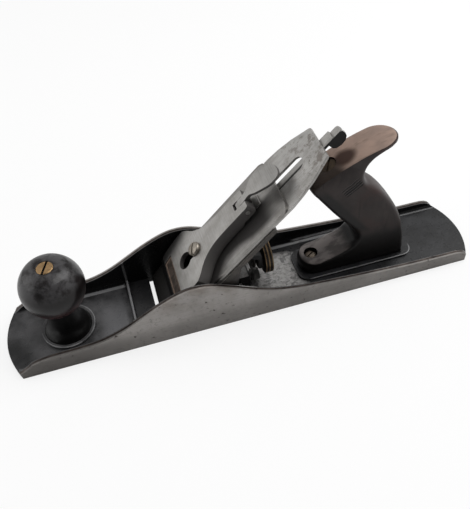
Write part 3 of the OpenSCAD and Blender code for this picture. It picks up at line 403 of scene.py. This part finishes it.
def hump_and_foot_shade(f):
    """Painted shade: the cap iron is black at the hump beside the mouth, a painted dark reflection, and dark
    along the lever cap's foot, a painted shadow of the lever cap.
    """
    hump = f.s.between(0.0245, 0.0195) * 0.97
    beside = f.y * -1.0 - 0.009 - f.s.between(0.075, 0.049) * 0.016 - f.s.between(0.082, 0.104) * 0.0045
    foot = beside.between(0.0118, 0.0052) * f.s.between(0.132, 0.112) * f.s.between(0.026, 0.034)
    foot = foot * f.y.between(0.0, -0.006) * 0.98
    return hump.most(foot), f.blend(hump, (0.030, 0.028, 0.027), (0.009, 0.0085, 0.008))


def slot_shadow(f):
    """Painted shadow: the lateral lever is dark along the side that hides below the iron's slot, bare in the middle.
    """
    hidden = f.y.between(-0.0006, -0.0018) * f.s.between(0.124, 0.128) * f.s.between(0.162, 0.158)
    return hidden * 0.92, (0.012, 0.011, 0.010)


def near_side_shade(f):
    """Painted shade on the faces that look to the near side or down."""
    return f.ny.between(-0.35, -0.6).most(f.nh.between(-0.3, -0.6)), (0.010, 0.0095, 0.0095)


def brass(name, light, dark, patina, slot=0.0):
    """Aged brass; slot is the half width of the knob nut's slot, which is painted near black."""
    f = Finish(name)
    cloud = f.grain(260, 4, 0.62)
    base = f.blend(cloud.between(0.3, 0.7), light, dark)
    base = f.blend(f.grain(700, 3).between(0.58, 0.7) * patina, base, (0.045, 0.028, 0.014))
    if slot:
        off = f.y * math.cos(NUT_TURN) - (f.x - KNOB_X) * math.sin(NUT_TURN)
        base = f.blend(abs(off).between(slot + 0.00012, slot + 0.00006), base, (0.006, 0.005, 0.004))
    return f.surface(Base_Color=base, Metallic=0.8, Roughness=0.36 + cloud * 0.2,
                     Normal=f.bump(f.grain(900, 3), 0.00006))


def wheel_brass():
    """Old brass nearly black with patina and painted shade, with the three beads of the rim rubbed bright."""
    f = Finish("wheel_brass")
    lift = f.z - WHEEL_Z
    reach = f.y * f.y + lift * lift
    bead = 0.0
    for place, half in ((WHEEL_X + 0.5, 0.45), ((WHEEL_X + WHEEL_END) / 2, 0.55), (WHEEL_END - 0.5, 0.45)):
        bead = abs(f.x - place / 1000).between((half + 0.1) / 1000, (half - 0.15) / 1000).most(bead)
    outermost = reach.between(((WHEEL_R - 0.4) / 1000) ** 2, ((WHEEL_R - 0.2) / 1000) ** 2)
    bead = bead * outermost * f.grain(140, 3).between(0.15, 0.45)
    cloud = f.grain(260, 4, 0.62)
    # Nearly black: dark patina together with painted shade
    base = f.blend(cloud.between(0.35, 0.7), (0.022, 0.016, 0.011), (0.011, 0.009, 0.008))
    base = f.blend(bead, base, f.blend(cloud.between(0.3, 0.7), (0.30, 0.205, 0.115), (0.18, 0.125, 0.075)))
    return f.surface(Base_Color=base, Metallic=0.35 + bead * 0.4, Roughness=0.42 + cloud * 0.16,
                     Normal=f.bump(f.grain(900, 3), 0.00006))


def frog_iron():
    """Machined bed in bare grey, cast flanks dull tan near the bed and old black japanning below."""
    f = Finish("frog_cast_iron")
    bed = f.nh.between(0.9, 0.98)
    cast = f.blend(f.grain(90, 4).between(0.35, 0.65), (0.056, 0.046, 0.038), (0.027, 0.023, 0.020))
    cast = f.blend((f.h + f.grain(60, 3) * 0.006).between(-0.0045, -0.0085), cast, (0.0075, 0.0072, 0.007))
    cast = f.blend(f.grain(420, 3).between(0.58, 0.68) * 0.5, cast, (0.014, 0.013, 0.012))
    face = f.blend(f.grain(150, 4).between(0.3, 0.7), (0.23, 0.22, 0.205), (0.14, 0.13, 0.118))
    return f.surface(Base_Color=f.blend(bed, cast, face), Metallic=0.15 + bed * 0.6,
                     Roughness=0.5 + f.grain(260, 3) * 0.12,
                     Normal=f.bump(f.grain(480, 4) * (1.0 - bed * 0.8), 0.00025))


# ---------------------------------------------------------------- shapes

def evaluated(ob):
    """Plain mesh of an object with its modifiers applied and removed."""
    bpy.context.view_layer.update()
    got = ob.evaluated_get(bpy.context.evaluated_depsgraph_get())
    mesh = bpy.data.meshes.new_from_object(got)
    ob.modifiers.clear()
    ob.data = mesh
    return ob


def shaded(ob, angle):
    """Smooth shading, with edges sharper than the angle kept sharp."""
    for face in ob.data.polygons:
        face.use_smooth = True
    ob.data.set_sharp_from_angle(angle=math.radians(angle))
    return ob


def piece(name, ob, finish, slot, body, *hidden):
    """Makes an object a piece of a body, in place of the CAD nodes that it hides."""
    ob.name = name
    ob.data.materials.clear()
    ob.data.materials.append(finish)
    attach(ob, body)
    if hidden:
        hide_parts(*hidden)


def softened(node, width, cutters):
    """Copy of a CAD node with its flat faces joined up and its sharp edges rounded off, less the cutters."""
    same_point, same_plane, sharp = 3e-6, math.radians(0.8), math.radians(30)
    mesh = nodes[node].data.copy()
    bm = bmesh.new()
    bm.from_mesh(mesh)
    bmesh.ops.remove_doubles(bm, verts=bm.verts, dist=same_point)
    bmesh.ops.dissolve_limit(bm, angle_limit=same_plane, verts=bm.verts, edges=bm.edges)
    bm.to_mesh(mesh)
    bm.free()
    ob = bpy.data.objects.new(node + "_soft", mesh)
    scene.collection.objects.link(ob)
    if cutters:
        cut(ob, cutters)
    edge = ob.modifiers.new("edge", "BEVEL")
    edge.width, edge.segments = width, 2
    edge.limit_method, edge.angle_limit = "ANGLE", sharp
    edge.use_clamp_overlap = True
    edge.miter_outer = "MITER_ARC"
    evaluated(ob)
    shaded(ob, 40)
    even = ob.modifiers.new("even", "WEIGHTED_NORMAL")
    even.keep_sharp = True
    return evaluated(ob)


def dress(node, finish, slot, body, width):
    """Gives a CAD node its finish, or a softened copy of it that replaces it."""
    if width:
        ob = softened(node, width, wall_end_cutters() if node == "body_casting" else ())
        if node == "knob_nut":
            about = Matrix.Translation((KNOB_X, 0, 0))
            ob.data.transform(about @ Matrix.Rotation(NUT_TURN - CAD_NUT_TURN, 4, "Z") @ about.inverted())
        piece(node + "_piece", ob, finish, slot, body, node)
    else:
        nodes[node].data.materials.clear()
        nodes[node].data.materials.append(finish)


def mesh_object(name, points, faces):
    """Object from points and faces, with equal points joined and the faces turned outwards."""
    mesh = bpy.data.meshes.new(name)
    mesh.from_pydata([tuple(p) for p in points], [], faces)
    bm = bmesh.new()
    bm.from_mesh(mesh)
    bmesh.ops.remove_doubles(bm, verts=bm.verts, dist=1e-6)
    bmesh.ops.recalc_face_normals(bm, faces=bm.faces)
    bm.to_mesh(mesh)
    bm.free()
    ob = bpy.data.objects.new(name, mesh)
    scene.collection.objects.link(ob)
    return ob


def spline(points, steps):
    """Smooth open curve through points with any number of coordinates, as in the CAD source."""
    out = []
    for i in range(len(points) - 1):
        a, b, c, d = (points[k] for k in (max(i - 1, 0), i, i + 1, min(i + 2, len(points) - 1)))
        for k in range(steps):
            u = k / steps
            out.append([0.5 * (2 * q + (r - p) * u + (2 * p - 5 * q + 4 * r - s) * u * u
                               + (3 * q - p - 3 * r + s) * u ** 3) for p, q, r, s in zip(a, b, c, d)])
    return out + [list(points[-1])]


def revolved(name, profile, x=0.0):
    """Ring-shaped solid from a closed profile of radius and height in mm, its axis +Z at x."""
    n, sides = len(profile), 112
    points = [(x + r * math.cos(a) / 1000, r * math.sin(a) / 1000, z / 1000)
              for a in (2 * math.pi * i / sides for i in range(sides)) for r, z in profile]
    faces = [(i * n + j, ((i + 1) % sides) * n + j, ((i + 1) % sides) * n + (j + 1) % n, i * n + (j + 1) % n)
             for i in range(sides) for j in range(n)]
    return mesh_object(name, points, faces)


def rod_mesh(name, start, direction, length, radius, sides=40):
    """Plain round rod, to cut a bore with."""
    direction = Vector(direction).normalized()
    side = direction.orthogonal().normalized()
    across = direction.cross(side)
    points = [Vector(start) + direction * d + (side * math.cos(a) + across * math.sin(a)) * radius
              for d in (0, length) for a in (2 * math.pi * i / sides for i in range(sides))]
    faces = [(i, (i + 1) % sides, sides + (i + 1) % sides, sides + i) for i in range(sides)]
    return mesh_object(name, points, faces + [tuple(range(sides - 1, -1, -1)), tuple(range(sides, 2 * sides))])


def cut(ob, cutters):
    """Takes the cutters out of an object and away."""
    for cutter in cutters:
        step = ob.modifiers.new("cut", "BOOLEAN")
        step.operation, step.solver, step.object = "DIFFERENCE", "EXACT", cutter
    evaluated(ob)
    for cutter in cutters:
        bpy.data.objects.remove(cutter)
    return ob


# Rows of the tote in mm, from the toe round to the horn: x and z of the front or top and of the back in the
# middle, the same two on the flank, and how sharply each side rounds over
TOTE_ROWS = [
    [46.5, 6.5, 124.6, 6.5, 57, 7.2, 124.5, 8.1, 1, 1.7],
    [44.4, 9, 125.3, 9, 55.7, 9.5, 122.7, 9.3, 1, 1.7],
    [44.2, 13.5, 125.5, 13.5, 55.8, 13, 121.9, 13.5, 1, 1.7],
    [46.2, 17, 125.4, 16.5, 56.6, 14.9, 120.8, 16.2, 1, 1.7],
    [51, 17.9, 125.2, 19, 58.4, 15.6, 120.6, 18.5, 1.15, 1.7],
    [58, 18.3, 124.9, 21.5, 62, 15.9, 120.3, 20.9, 1.9, 1.7],
    [66, 20.2, 124.4, 25, 68.3, 17.4, 119.9, 24.2, 2.2, 1.7],
    [74.5, 23.2, 123.6, 29, 76.6, 20.3, 119.1, 28, 2.1, 1.7],
    [82, 27.4, 122.5, 34, 84.4, 25, 118, 33, 1.9, 1.7],
    [85.6, 32.6, 121.4, 39, 88.8, 31.9, 117, 37.8, 1.7, 1.7],
    [84.4, 38.6, 119.4, 45, 88.6, 40.5, 115.1, 43.4, 1.7, 1.7],
    [80.4, 44.4, 116.6, 51.5, 84.1, 47.2, 112.5, 49.4, 1.7, 1.7],
    [74.4, 52, 112.4, 59, 78, 54.8, 108.5, 56.6, 1.7, 1.7],
    [67.2, 61.4, 107.4, 66.5, 70.9, 64.1, 103.7, 63.8, 1.7, 1.7],
    [60.4, 71, 101.6, 73.8, 64.2, 73.6, 98.2, 70.7, 1.7, 1.7],
    [54.4, 79.6, 95.4, 79.8, 58.2, 82.2, 92.2, 76.5, 1.7, 1.6],
    [49.8, 86.4, 90.6, 84.2, 54, 86.2, 86.4, 84, 1.7, 1.3],
    [48.6, 91.2, 88.8, 88.4, 52.4, 90.4, 84, 88.4, 1.6, 1.1],
    [53, 95.4, 88.6, 92.2, 55.5, 95.4, 83, 92.2, 1.5, 1],
    [62, 100.4, 89.2, 95.8, 62.8, 99.8, 83, 96, 1.4, 0.9],
    [72, 105.4, 91, 99.4, 72, 104.7, 83.6, 99.6, 1.3, 0.85],
    [82, 109.9, 94, 102.8, 81, 108.9, 85.3, 103.4, 1.2, 0.8],
    [91, 113.3, 98, 105.6, 88, 111.6, 88, 107, 1.1, 0.8],
    [98.5, 115.6, 102, 107.8, 92.5, 113.1, 90.8, 109.4, 1, 0.85],
    [104.5, 116.8, 106, 109.6, 94.8, 113.8, 93.2, 111.2, 1, 0.9],
    [109, 116.9, 109.4, 111.4, 96, 114.1, 95, 112.4, 1, 1],
    [111.4, 115.6, 111.6, 113.6, 96.4, 113.9, 96.2, 113.4, 1, 1]]
# Half the tote's width, the part of it that the rounding takes, the seat's height and the gap over the seat
TOTE_HALF, TOTE_BAND, SEAT_TOP, SEAT_GAP = 12.2, 11.5, 6.5, 0.05


def tote_slice(angle, steps):
    """Outline of the slice at an angle round the flank, 90 on the flank itself."""
    low = 1 - math.cos(math.radians(angle))

    def line(k, sharp):
        rows = []
        for q in TOTE_ROWS:
            w = low ** q[sharp]
            rows.append([q[k] + (q[k + 4] - q[k]) * w, q[k + 1] + (q[k + 5] - q[k + 1]) * w])
        return spline(rows, steps)
    points = line(0, 8) + line(2, 9)[::-1]
    return [(x, max(z, SEAT_TOP) + SEAT_GAP) for x, z in points]


def tote_body(steps):
    """The tote's wood before boring, from slices on both sides."""
    angles = [90, 84, 77, 70, 62, 53, 44, 34, 24, 12, 0]
    slices = [tote_slice(a, steps) for a in angles]
    n = len(slices[0])
    points, faces = [], []
    for sign, order in ((-1, range(len(angles))), (1, range(len(angles) - 1, -1, -1))):
        for k in order:
            y = sign * ((TOTE_HALF - TOTE_BAND) + TOTE_BAND * math.sin(math.radians(angles[k])))
            points += [(x / 1000, y / 1000, z / 1000) for x, z in slices[k]]
    rows = 2 * len(angles)
    for j in range(rows - 1):
        faces += [(j * n + i, j * n + (i + 1) % n, (j + 1) * n + (i + 1) % n, (j + 1) * n + i) for i in range(n)]
    last = (rows - 1) * n
    for i in range(n // 2 - 1):
        a, b, c, d = i, i + 1, n - 2 - i, n - 1 - i
        faces += [(a, b, c, d), (last + d, last + c, last + b, last + a)]
    return mesh_object("tote_wood", points, faces)


# The tote's rod: its foot in metres, its direction, and how far up it the nut stands
ROD_LEAN = math.radians(25)
ROD_FOOT, ROD_UP = (0.1078, 0, 0.0065), (-math.sin(ROD_LEAN), 0, math.cos(ROD_LEAN))
NUT_D = 0.1035


def along_rod(d):
    """Point d metres up the tote's leaning rod."""
    return Vector([foot + up * d for foot, up in zip(ROD_FOOT, ROD_UP)])


def carved_tote():
    """The tote with its bores for rod, nut and toe screw, and room for the seat's boss."""
    ob = tote_body(4)
    return cut(ob, [rod_mesh("bore", along_rod(-0.02), ROD_UP, 0.2, 0.0033),
                    rod_mesh("boss_room", along_rod(-0.02), ROD_UP, 0.0286, 0.0067),
                    rod_mesh("nut_bore", along_rod(NUT_D - 0.015), ROD_UP, 0.06, 0.00463),
                    rod_mesh("nut_room", along_rod(NUT_D - 0.0026), ROD_UP, 0.06, 0.00603, 64),
                    rod_mesh("screw_bore", (TOE_SCREW_X, 0, 0), (0, 0, 1), 0.04, 0.0028),
                    rod_mesh("screw_room", (TOE_SCREW_X, 0, 0.01325), (0, 0, 1), 0.04, 0.0052, 64)])


def turned_knob():
    """Knob as turned, in mm: foot bead, thin neck, ball, and a flat hardly wider than the nut."""
    r, top, base, waist, foot, crown_r = 22.4, 70.6, 4.55, 11.0, 16.8, 15.4
    mid = top - 19
    neck_end = math.pi - math.asin(waist * 1.04 / r)
    crown_end = math.asin(crown_r / r)
    ball = [(r * math.sin(a), mid + r * math.cos(a))
            for a in (neck_end + (crown_end - neck_end) * i / 40 for i in range(41))]
    neck = spline([(foot, base + 3), (foot - 1.2, base + 5.2), (waist + 2.2, base + 8.6), (waist + 0.5, base + 13),
                   (waist, base + 18), (waist + 0.1, base + 23), ball[0]], 5)
    crown = spline([ball[40], (12.4, top - 1.15), (9.6, top - 0.25), (7.3, top)], 5)
    inside = [(6.1, top), (5.83, top - 0.25), (5.8, top - 2.6), (4.63, top - 2.6), (4.63, top - 15), (3.3, top - 15),
              (3.3, base + 6.6), (6.7, base + 6.6), (6.7, base)]
    outer = [(foot - 0.3, base), (foot, base + 0.3)] + neck + ball[1:40] + crown
    return revolved("knob_wood", outer + inside, KNOB_X)


def wall_end_cutters():
    """Prisms across the sole that round the ends of the side walls off; their lines are x and z in mm."""
    made = []
    for name, line in (("heel", [(157.5, 10.9), (161, 10.2), (165, 9.3), (168, 7.6), (170.2, 5.4), (170.8, 4.62),
                                 (185, 4.62), (185, 30), (157.5, 30)]),
                       ("toe", [(-159, 12.6), (-162, 10.2), (-165.5, 7.6), (-168.5, 5.7), (-171, 4.62), (-185, 4.62),
                                (-185, 30), (-159, 30)])):
        n = len(line)
        points = [(x / 1000, y, z / 1000) for y in (-0.04, 0.04) for x, z in line]
        faces = [(i, (i + 1) % n, n + (i + 1) % n, n + i) for i in range(n)]
        made.append(mesh_object(name, points, faces + [tuple(range(n - 1, -1, -1)), tuple(range(n, 2 * n))]))
    return made


def on_stud(ob, start=0.0):
    """Lays an object made along +Z on the axis of the depth wheel, along +X from a start."""
    ob.data.transform(Matrix.Translation((start, 0, WHEEL_Z)) @ Matrix.Rotation(math.radians(90), 4, "Y"))
    return ob


def depth_wheel():
    """Brass wheel: grooved hub for the fork, rim of three smooth beads with a sunken band between each two, for the
    knurls.
    """
    # Radius, the groove's middle, and the rim's front, rear and middle
    r, g, a, b = WHEEL_R, FORK_X, WHEEL_X, WHEEL_END
    m = (a + b) / 2
    profile = [(3.25, g - 4.6), (7.4, g - 4.6), (7.9, g - 4.45), (8.2, g - 4.1), (8.2, g - 3.0), (8.0, g - 2.75),
               (5.6, g - 2.75), (5.6, g + 2.75), (r - 2.4, a - 0.55), (r - 1.4, a - 0.3), (r - 0.3, a), (r, a + 0.3),
               (r, a + 0.7), (r - 0.5, a + 0.85), (r - 0.5, m - 0.55), (r, m - 0.4), (r, m + 0.4), (r - 0.5, m + 0.55),
               (r - 0.5, b - 0.85), (r, b - 0.7), (r, b - 0.3), (r - 0.4, b), (r - 3.2, b), (r - 4.2, b - 1.2),
               (6.4, b - 1.2), (5.9, b - 1.0), (5.7, b + 0.25), (5.5, b + 0.4), (3.25, b + 0.4)]
    return on_stud(revolved("depth_wheel_brass", profile))


# ---------------------------------------------------------------- Geometry Nodes

def node_group(name, sockets):
    """Empty Geometry Nodes group with a geometry output and named inputs, and its two end nodes."""
    group = bpy.data.node_groups.new(name, "GeometryNodeTree")
    group.interface.new_socket("Geometry", in_out="OUTPUT", socket_type="NodeSocketGeometry")
    for label, kind in sockets.items():
        group.interface.new_socket(label, in_out="INPUT", socket_type="NodeSocket" + kind)
    return group, group.nodes.new("NodeGroupInput"), group.nodes.new("NodeGroupOutput")


def placed(group, kind, links=None, values=None, **settings):
    """Adds a node; links map its inputs to sockets, values to constants."""
    made = group.nodes.new(kind)
    for key, value in settings.items():
        setattr(made, key, value)
    for key, value in (values or {}).items():
        made.inputs[key].default_value = value
    for key, socket in (links or {}).items():
        group.links.new(socket, made.inputs[key])
    return made


def ridge_group():
    """Ring of small ridges round the origin, their axis +Z: a knurled band."""
    group, given, result = node_group("knurled_band", {"Count": "Int", "Radius": "Float", "Ridge": "Vector",
                                                       "Height": "Float", "Finish": "Material"})
    ring = placed(group, "GeometryNodeMeshCircle", {"Vertices": given.outputs["Count"],
                                                    "Radius": given.outputs["Radius"]})
    bar = placed(group, "GeometryNodeMeshCube", {"Size": given.outputs["Ridge"]})
    where = placed(group, "GeometryNodeInputPosition")
    turn = placed(group, "FunctionNodeAlignRotationToVector", {"Vector": where.outputs[0]}, axis="X")
    bars = placed(group, "GeometryNodeInstanceOnPoints", {"Points": ring.outputs[0], "Instance": bar.outputs[0],
                                                          "Rotation": turn.outputs[0]})
    real = placed(group, "GeometryNodeRealizeInstances", {"Geometry": bars.outputs[0]})
    lift = placed(group, "ShaderNodeCombineXYZ", {"Z": given.outputs["Height"]})
    moved = placed(group, "GeometryNodeTransform", {"Geometry": real.outputs[0], "Translation": lift.outputs[0]})
    done = placed(group, "GeometryNodeSetMaterial", {"Geometry": moved.outputs[0],
                                                     "Material": given.outputs["Finish"]})
    group.links.new(done.outputs[0], result.inputs[0])
    return group


def thread_group():
    """Screw thread as one wound ridge, its axis +Z from the origin."""
    group, given, result = node_group("wound_thread", {"Turns": "Float", "Radius": "Float", "Length": "Float",
                                                       "Ridge": "Float", "Finish": "Material"})
    wound = placed(group, "GeometryNodeCurveSpiral", {"Rotations": given.outputs["Turns"],
                                                      "Height": given.outputs["Length"],
                                                      "Start Radius": given.outputs["Radius"],
                                                      "End Radius": given.outputs["Radius"]}, {"Resolution": 28})
    edge = placed(group, "GeometryNodeCurvePrimitiveCircle", {"Radius": given.outputs["Ridge"]}, {"Resolution": 4})
    swept = placed(group, "GeometryNodeCurveToMesh", {"Curve": wound.outputs[0], "Profile Curve": edge.outputs[0]},
                   {"Fill Caps": True})
    done = placed(group, "GeometryNodeSetMaterial", {"Geometry": swept.outputs[0],
                                                     "Material": given.outputs["Finish"]})
    group.links.new(done.outputs[0], result.inputs[0])
    return group


def grown(name, group, **values):
    """Object that a node group makes with the given inputs, as plain mesh."""
    ob = mesh_object(name, [(0, 0, 0)], [])
    step = ob.modifiers.new("nodes", "NODES")
    step.node_group = group
    ids = {item.name: item.identifier for item in group.interface.items_tree if item.in_out == "INPUT"}
    for label, value in values.items():
        step[ids[label]] = value
    return evaluated(ob)


# ---------------------------------------------------------------- the plane

# The body and the material slot of each node, from the record
BODY_OF = {n: b for b, ns in frame["record"]["behaviour"]["bodies"].items() for n in ns}
SLOT_OF = {s["node"]: s["material_slot"] for s in frame["record"]["subparts"]}

CAST = cast_body()
KNOB_WOOD = dark_wood("dark_knob_wood", (0.0045, 0.0038, 0.0038), (0.0085, 0.006, 0.006), 1.0, knob_wear_and_sheen)
TOTE_WOOD = dark_wood("dark_tote_wood", (0.0165, 0.0122, 0.0116), (0.029, 0.0205, 0.019), 0.35, handle_wear_and_light)
IRON = steel("cutting_iron_steel", (0.42, 0.41, 0.395), (0.28, 0.27, 0.255), "s", rust=1.0)
CAP_IRON = steel("cap_iron_steel", (0.31, 0.30, 0.287), (0.21, 0.20, 0.188), "s", rough=0.26, spots=0.05,
                 over=hump_and_foot_shade)
CAP = steel("lever_cap_satin", (0.37, 0.36, 0.346), (0.27, 0.26, 0.245), "y", rough=0.36, spots=0.05, over=cap_paint)
STEEL = steel("lever_steel", (0.38, 0.37, 0.355), (0.26, 0.25, 0.235), "s", spots=0.12)
THUMB = steel("thumb_steel", (0.42, 0.41, 0.395), (0.30, 0.29, 0.275), "s", spots=0.12, over=near_side_shade)
LEVER = steel("lateral_lever_steel", (0.40, 0.39, 0.375), (0.30, 0.29, 0.275), "s", spots=0.1, over=slot_shadow)
WORN_STEEL = steel("worn_grey_steel", (0.27, 0.262, 0.252), (0.15, 0.145, 0.138), "y", rough=0.5, metallic=0.5,
                   spots=0.2)
PALE_SCREW = steel("worn_screw_steel", (0.33, 0.30, 0.26), (0.20, 0.175, 0.145), "y", spots=0.25)
SCREW = steel("browned_screw_steel", (0.17, 0.14, 0.11), (0.08, 0.062, 0.048), "y", spots=0.4)
BRASS = brass("knob_nut_brass", (0.37, 0.235, 0.115), (0.22, 0.14, 0.065), 0.5, 0.0007)
# Brass darkened as painted shade, with patina, for the tote's nut, which sits recessed in the tote's top
SHADED_BRASS = brass("tote_nut_brass", (0.060, 0.042, 0.026), (0.028, 0.021, 0.015), 0.7)
OLD_SHADED_BRASS = wheel_brass()
FROG = frog_iron()

# Finish of each slot, then of the nodes that differ from their slot
FINISH_OF = {"japanned_casting": CAST, "knob_wood": KNOB_WOOD, "tote_wood": TOTE_WOOD, "brass": BRASS,
             "aged_brass": OLD_SHADED_BRASS, "steel": STEEL, "iron_steel": IRON, "frog_iron": FROG,
             "lever_cap_iron": CAP, "screw_steel": SCREW}
OWN_FINISH = {"cap_iron": CAP_IRON, "lateral_thumb_piece": THUMB, "lateral_lever": LEVER, "tote_nut": SHADED_BRASS,
              "lever_cap_screw": PALE_SCREW, "frog_adjusting_screw": WORN_STEEL, "frog_adjusting_clip": WORN_STEEL,
              "frog_clip_screw": WORN_STEEL}
# Width of the softened edges in metres
EDGES = {"body_casting": 0.0008, "frog": 0.0005, "lever_cap": 0.0006, "cutting_iron": 0.0003, "cap_iron": 0.0004,
         "cam_lever": 0.0005, "lateral_lever": 0.0003, "lateral_thumb_piece": 0.0004, "knob_nut": 0.0003,
         "tote_nut": 0.0003, "lever_cap_screw": 0.0003, "tote_toe_screw": 0.0003}

# Pieces made here that stand for a CAD node, with the angle above which their edges are sharp
ANEW = {"tote": (carved_tote(), 38), "knob": (turned_knob(), 40), "depth_adjusting_wheel": (depth_wheel(), 30)}
for node, (ob, angle) in ANEW.items():
    slot = SLOT_OF[node]
    piece(node + "_piece", shaded(ob, angle), FINISH_OF[slot], slot, BODY_OF[node], node)

knurl = ridge_group()
for name, mid in (("front", WHEEL_X + 1.65), ("rear", WHEEL_END - 1.65)):
    band = grown("wheel_knurl_" + name, knurl, Count=72, Radius=0.01358, Ridge=(0.0006, 0.00055, 0.0017),
                 Height=mid / 1000, Finish=OLD_SHADED_BRASS)
    piece("wheel_knurl_" + name, on_stud(band), OLD_SHADED_BRASS, "aged_brass", "depth_wheel")
wound = grown("stud_thread", thread_group(), Turns=5.9, Radius=0.00315, Length=0.0062, Ridge=0.00032, Finish=STEEL)
piece("stud_thread", on_stud(wound, -0.0025), STEEL, "steel", "stud")

for node in [n for n in nodes if n not in ANEW]:
    dress(node, OWN_FINISH.get(node, FINISH_OF[SLOT_OF[node]]), SLOT_OF[node], BODY_OF[node], EDGES.get(node, 0.0))

# ---------------------------------------------------------------- floor, light and camera

def pale_floor():
    """Nearly white floor; the camera and, less, mirroring faces see it glow, so that it is white there."""
    pale = bpy.data.materials.new("pale_floor")
    f = Shader(pale)
    seen, mirrored = (f.node("ShaderNodeLightPath", {}, {}, ray) for ray in ("Is Camera Ray", "Is Glossy Ray"))
    matt = f.node("ShaderNodeBsdfDiffuse", {}, {"Color": (0.86, 0.86, 0.86)})
    glow = f.node("ShaderNodeEmission", {}, {"Color": (1, 1, 1), "Strength": 1.0})
    mixed = f.node("ShaderNodeMixShader", {}, {0: seen * 0.8 + mirrored * 0.25, 1: matt, 2: glow})
    f.node("ShaderNodeOutputMaterial", {}, {"Surface": mixed}, None)
    return pale


def studio():
    """White world for the camera. For the rest it is darker behind the photographer, where glossy parts mirror it."""
    behind, edge, bright, dark = (-0.145, -0.62, 0.77), (0.35, 0.9), 0.62, 0.06
    world = bpy.data.worlds.new("studio")
    f = Shader(world)
    toward = f.node("ShaderNodeTexCoord", {}, {}, "Generated")
    near = f.node("ShaderNodeVectorMath", {"operation": "DOT_PRODUCT"}, {0: toward, 1: behind}, "Value")
    level = f.node("ShaderNodeMapRange", {"interpolation_type": "SMOOTHSTEP"},
                   {0: near, 1: edge[0], 2: edge[1], 3: bright, 4: dark})
    room, white = (f.node("ShaderNodeBackground", {}, {"Color": (1, 1, 1), "Strength": s}) for s in (level, 1.0))
    seen = f.node("ShaderNodeLightPath", {}, {}, "Is Camera Ray")
    choice = f.node("ShaderNodeMixShader", {}, {0: seen, 1: room, 2: white})
    f.node("ShaderNodeOutputWorld", {}, {"Surface": choice}, None)
    return world


floor_mesh = bpy.data.meshes.new("floor")
floor_mesh.from_pydata([(-6, -6, 0), (6, -6, 0), (6, 6, 0), (-6, 6, 0)], [], [(0, 1, 2, 3)])
floor = bpy.data.objects.new("floor", floor_mesh)
scene.collection.objects.link(floor)
floor.data.materials.append(pale_floor())
scene.world = studio()

lamp("overhead_right", place=(0.62, 0.08, 1.0), aim=(0, 0, 0.03), size=(0.8, 1.3), watts=13)
lamp("left", place=(-1.1, 0.25, 0.6), aim=(0, 0, 0.03), size=(1.2, 0.9), watts=5)

scene.view_settings.view_transform = "Standard"
camera_at(place=(-0.0714, -0.3048, 0.3781), right=(0.9588, -0.2773, -0.0601), up=(0.2443, 0.6989, 0.6722), lens=48.95)
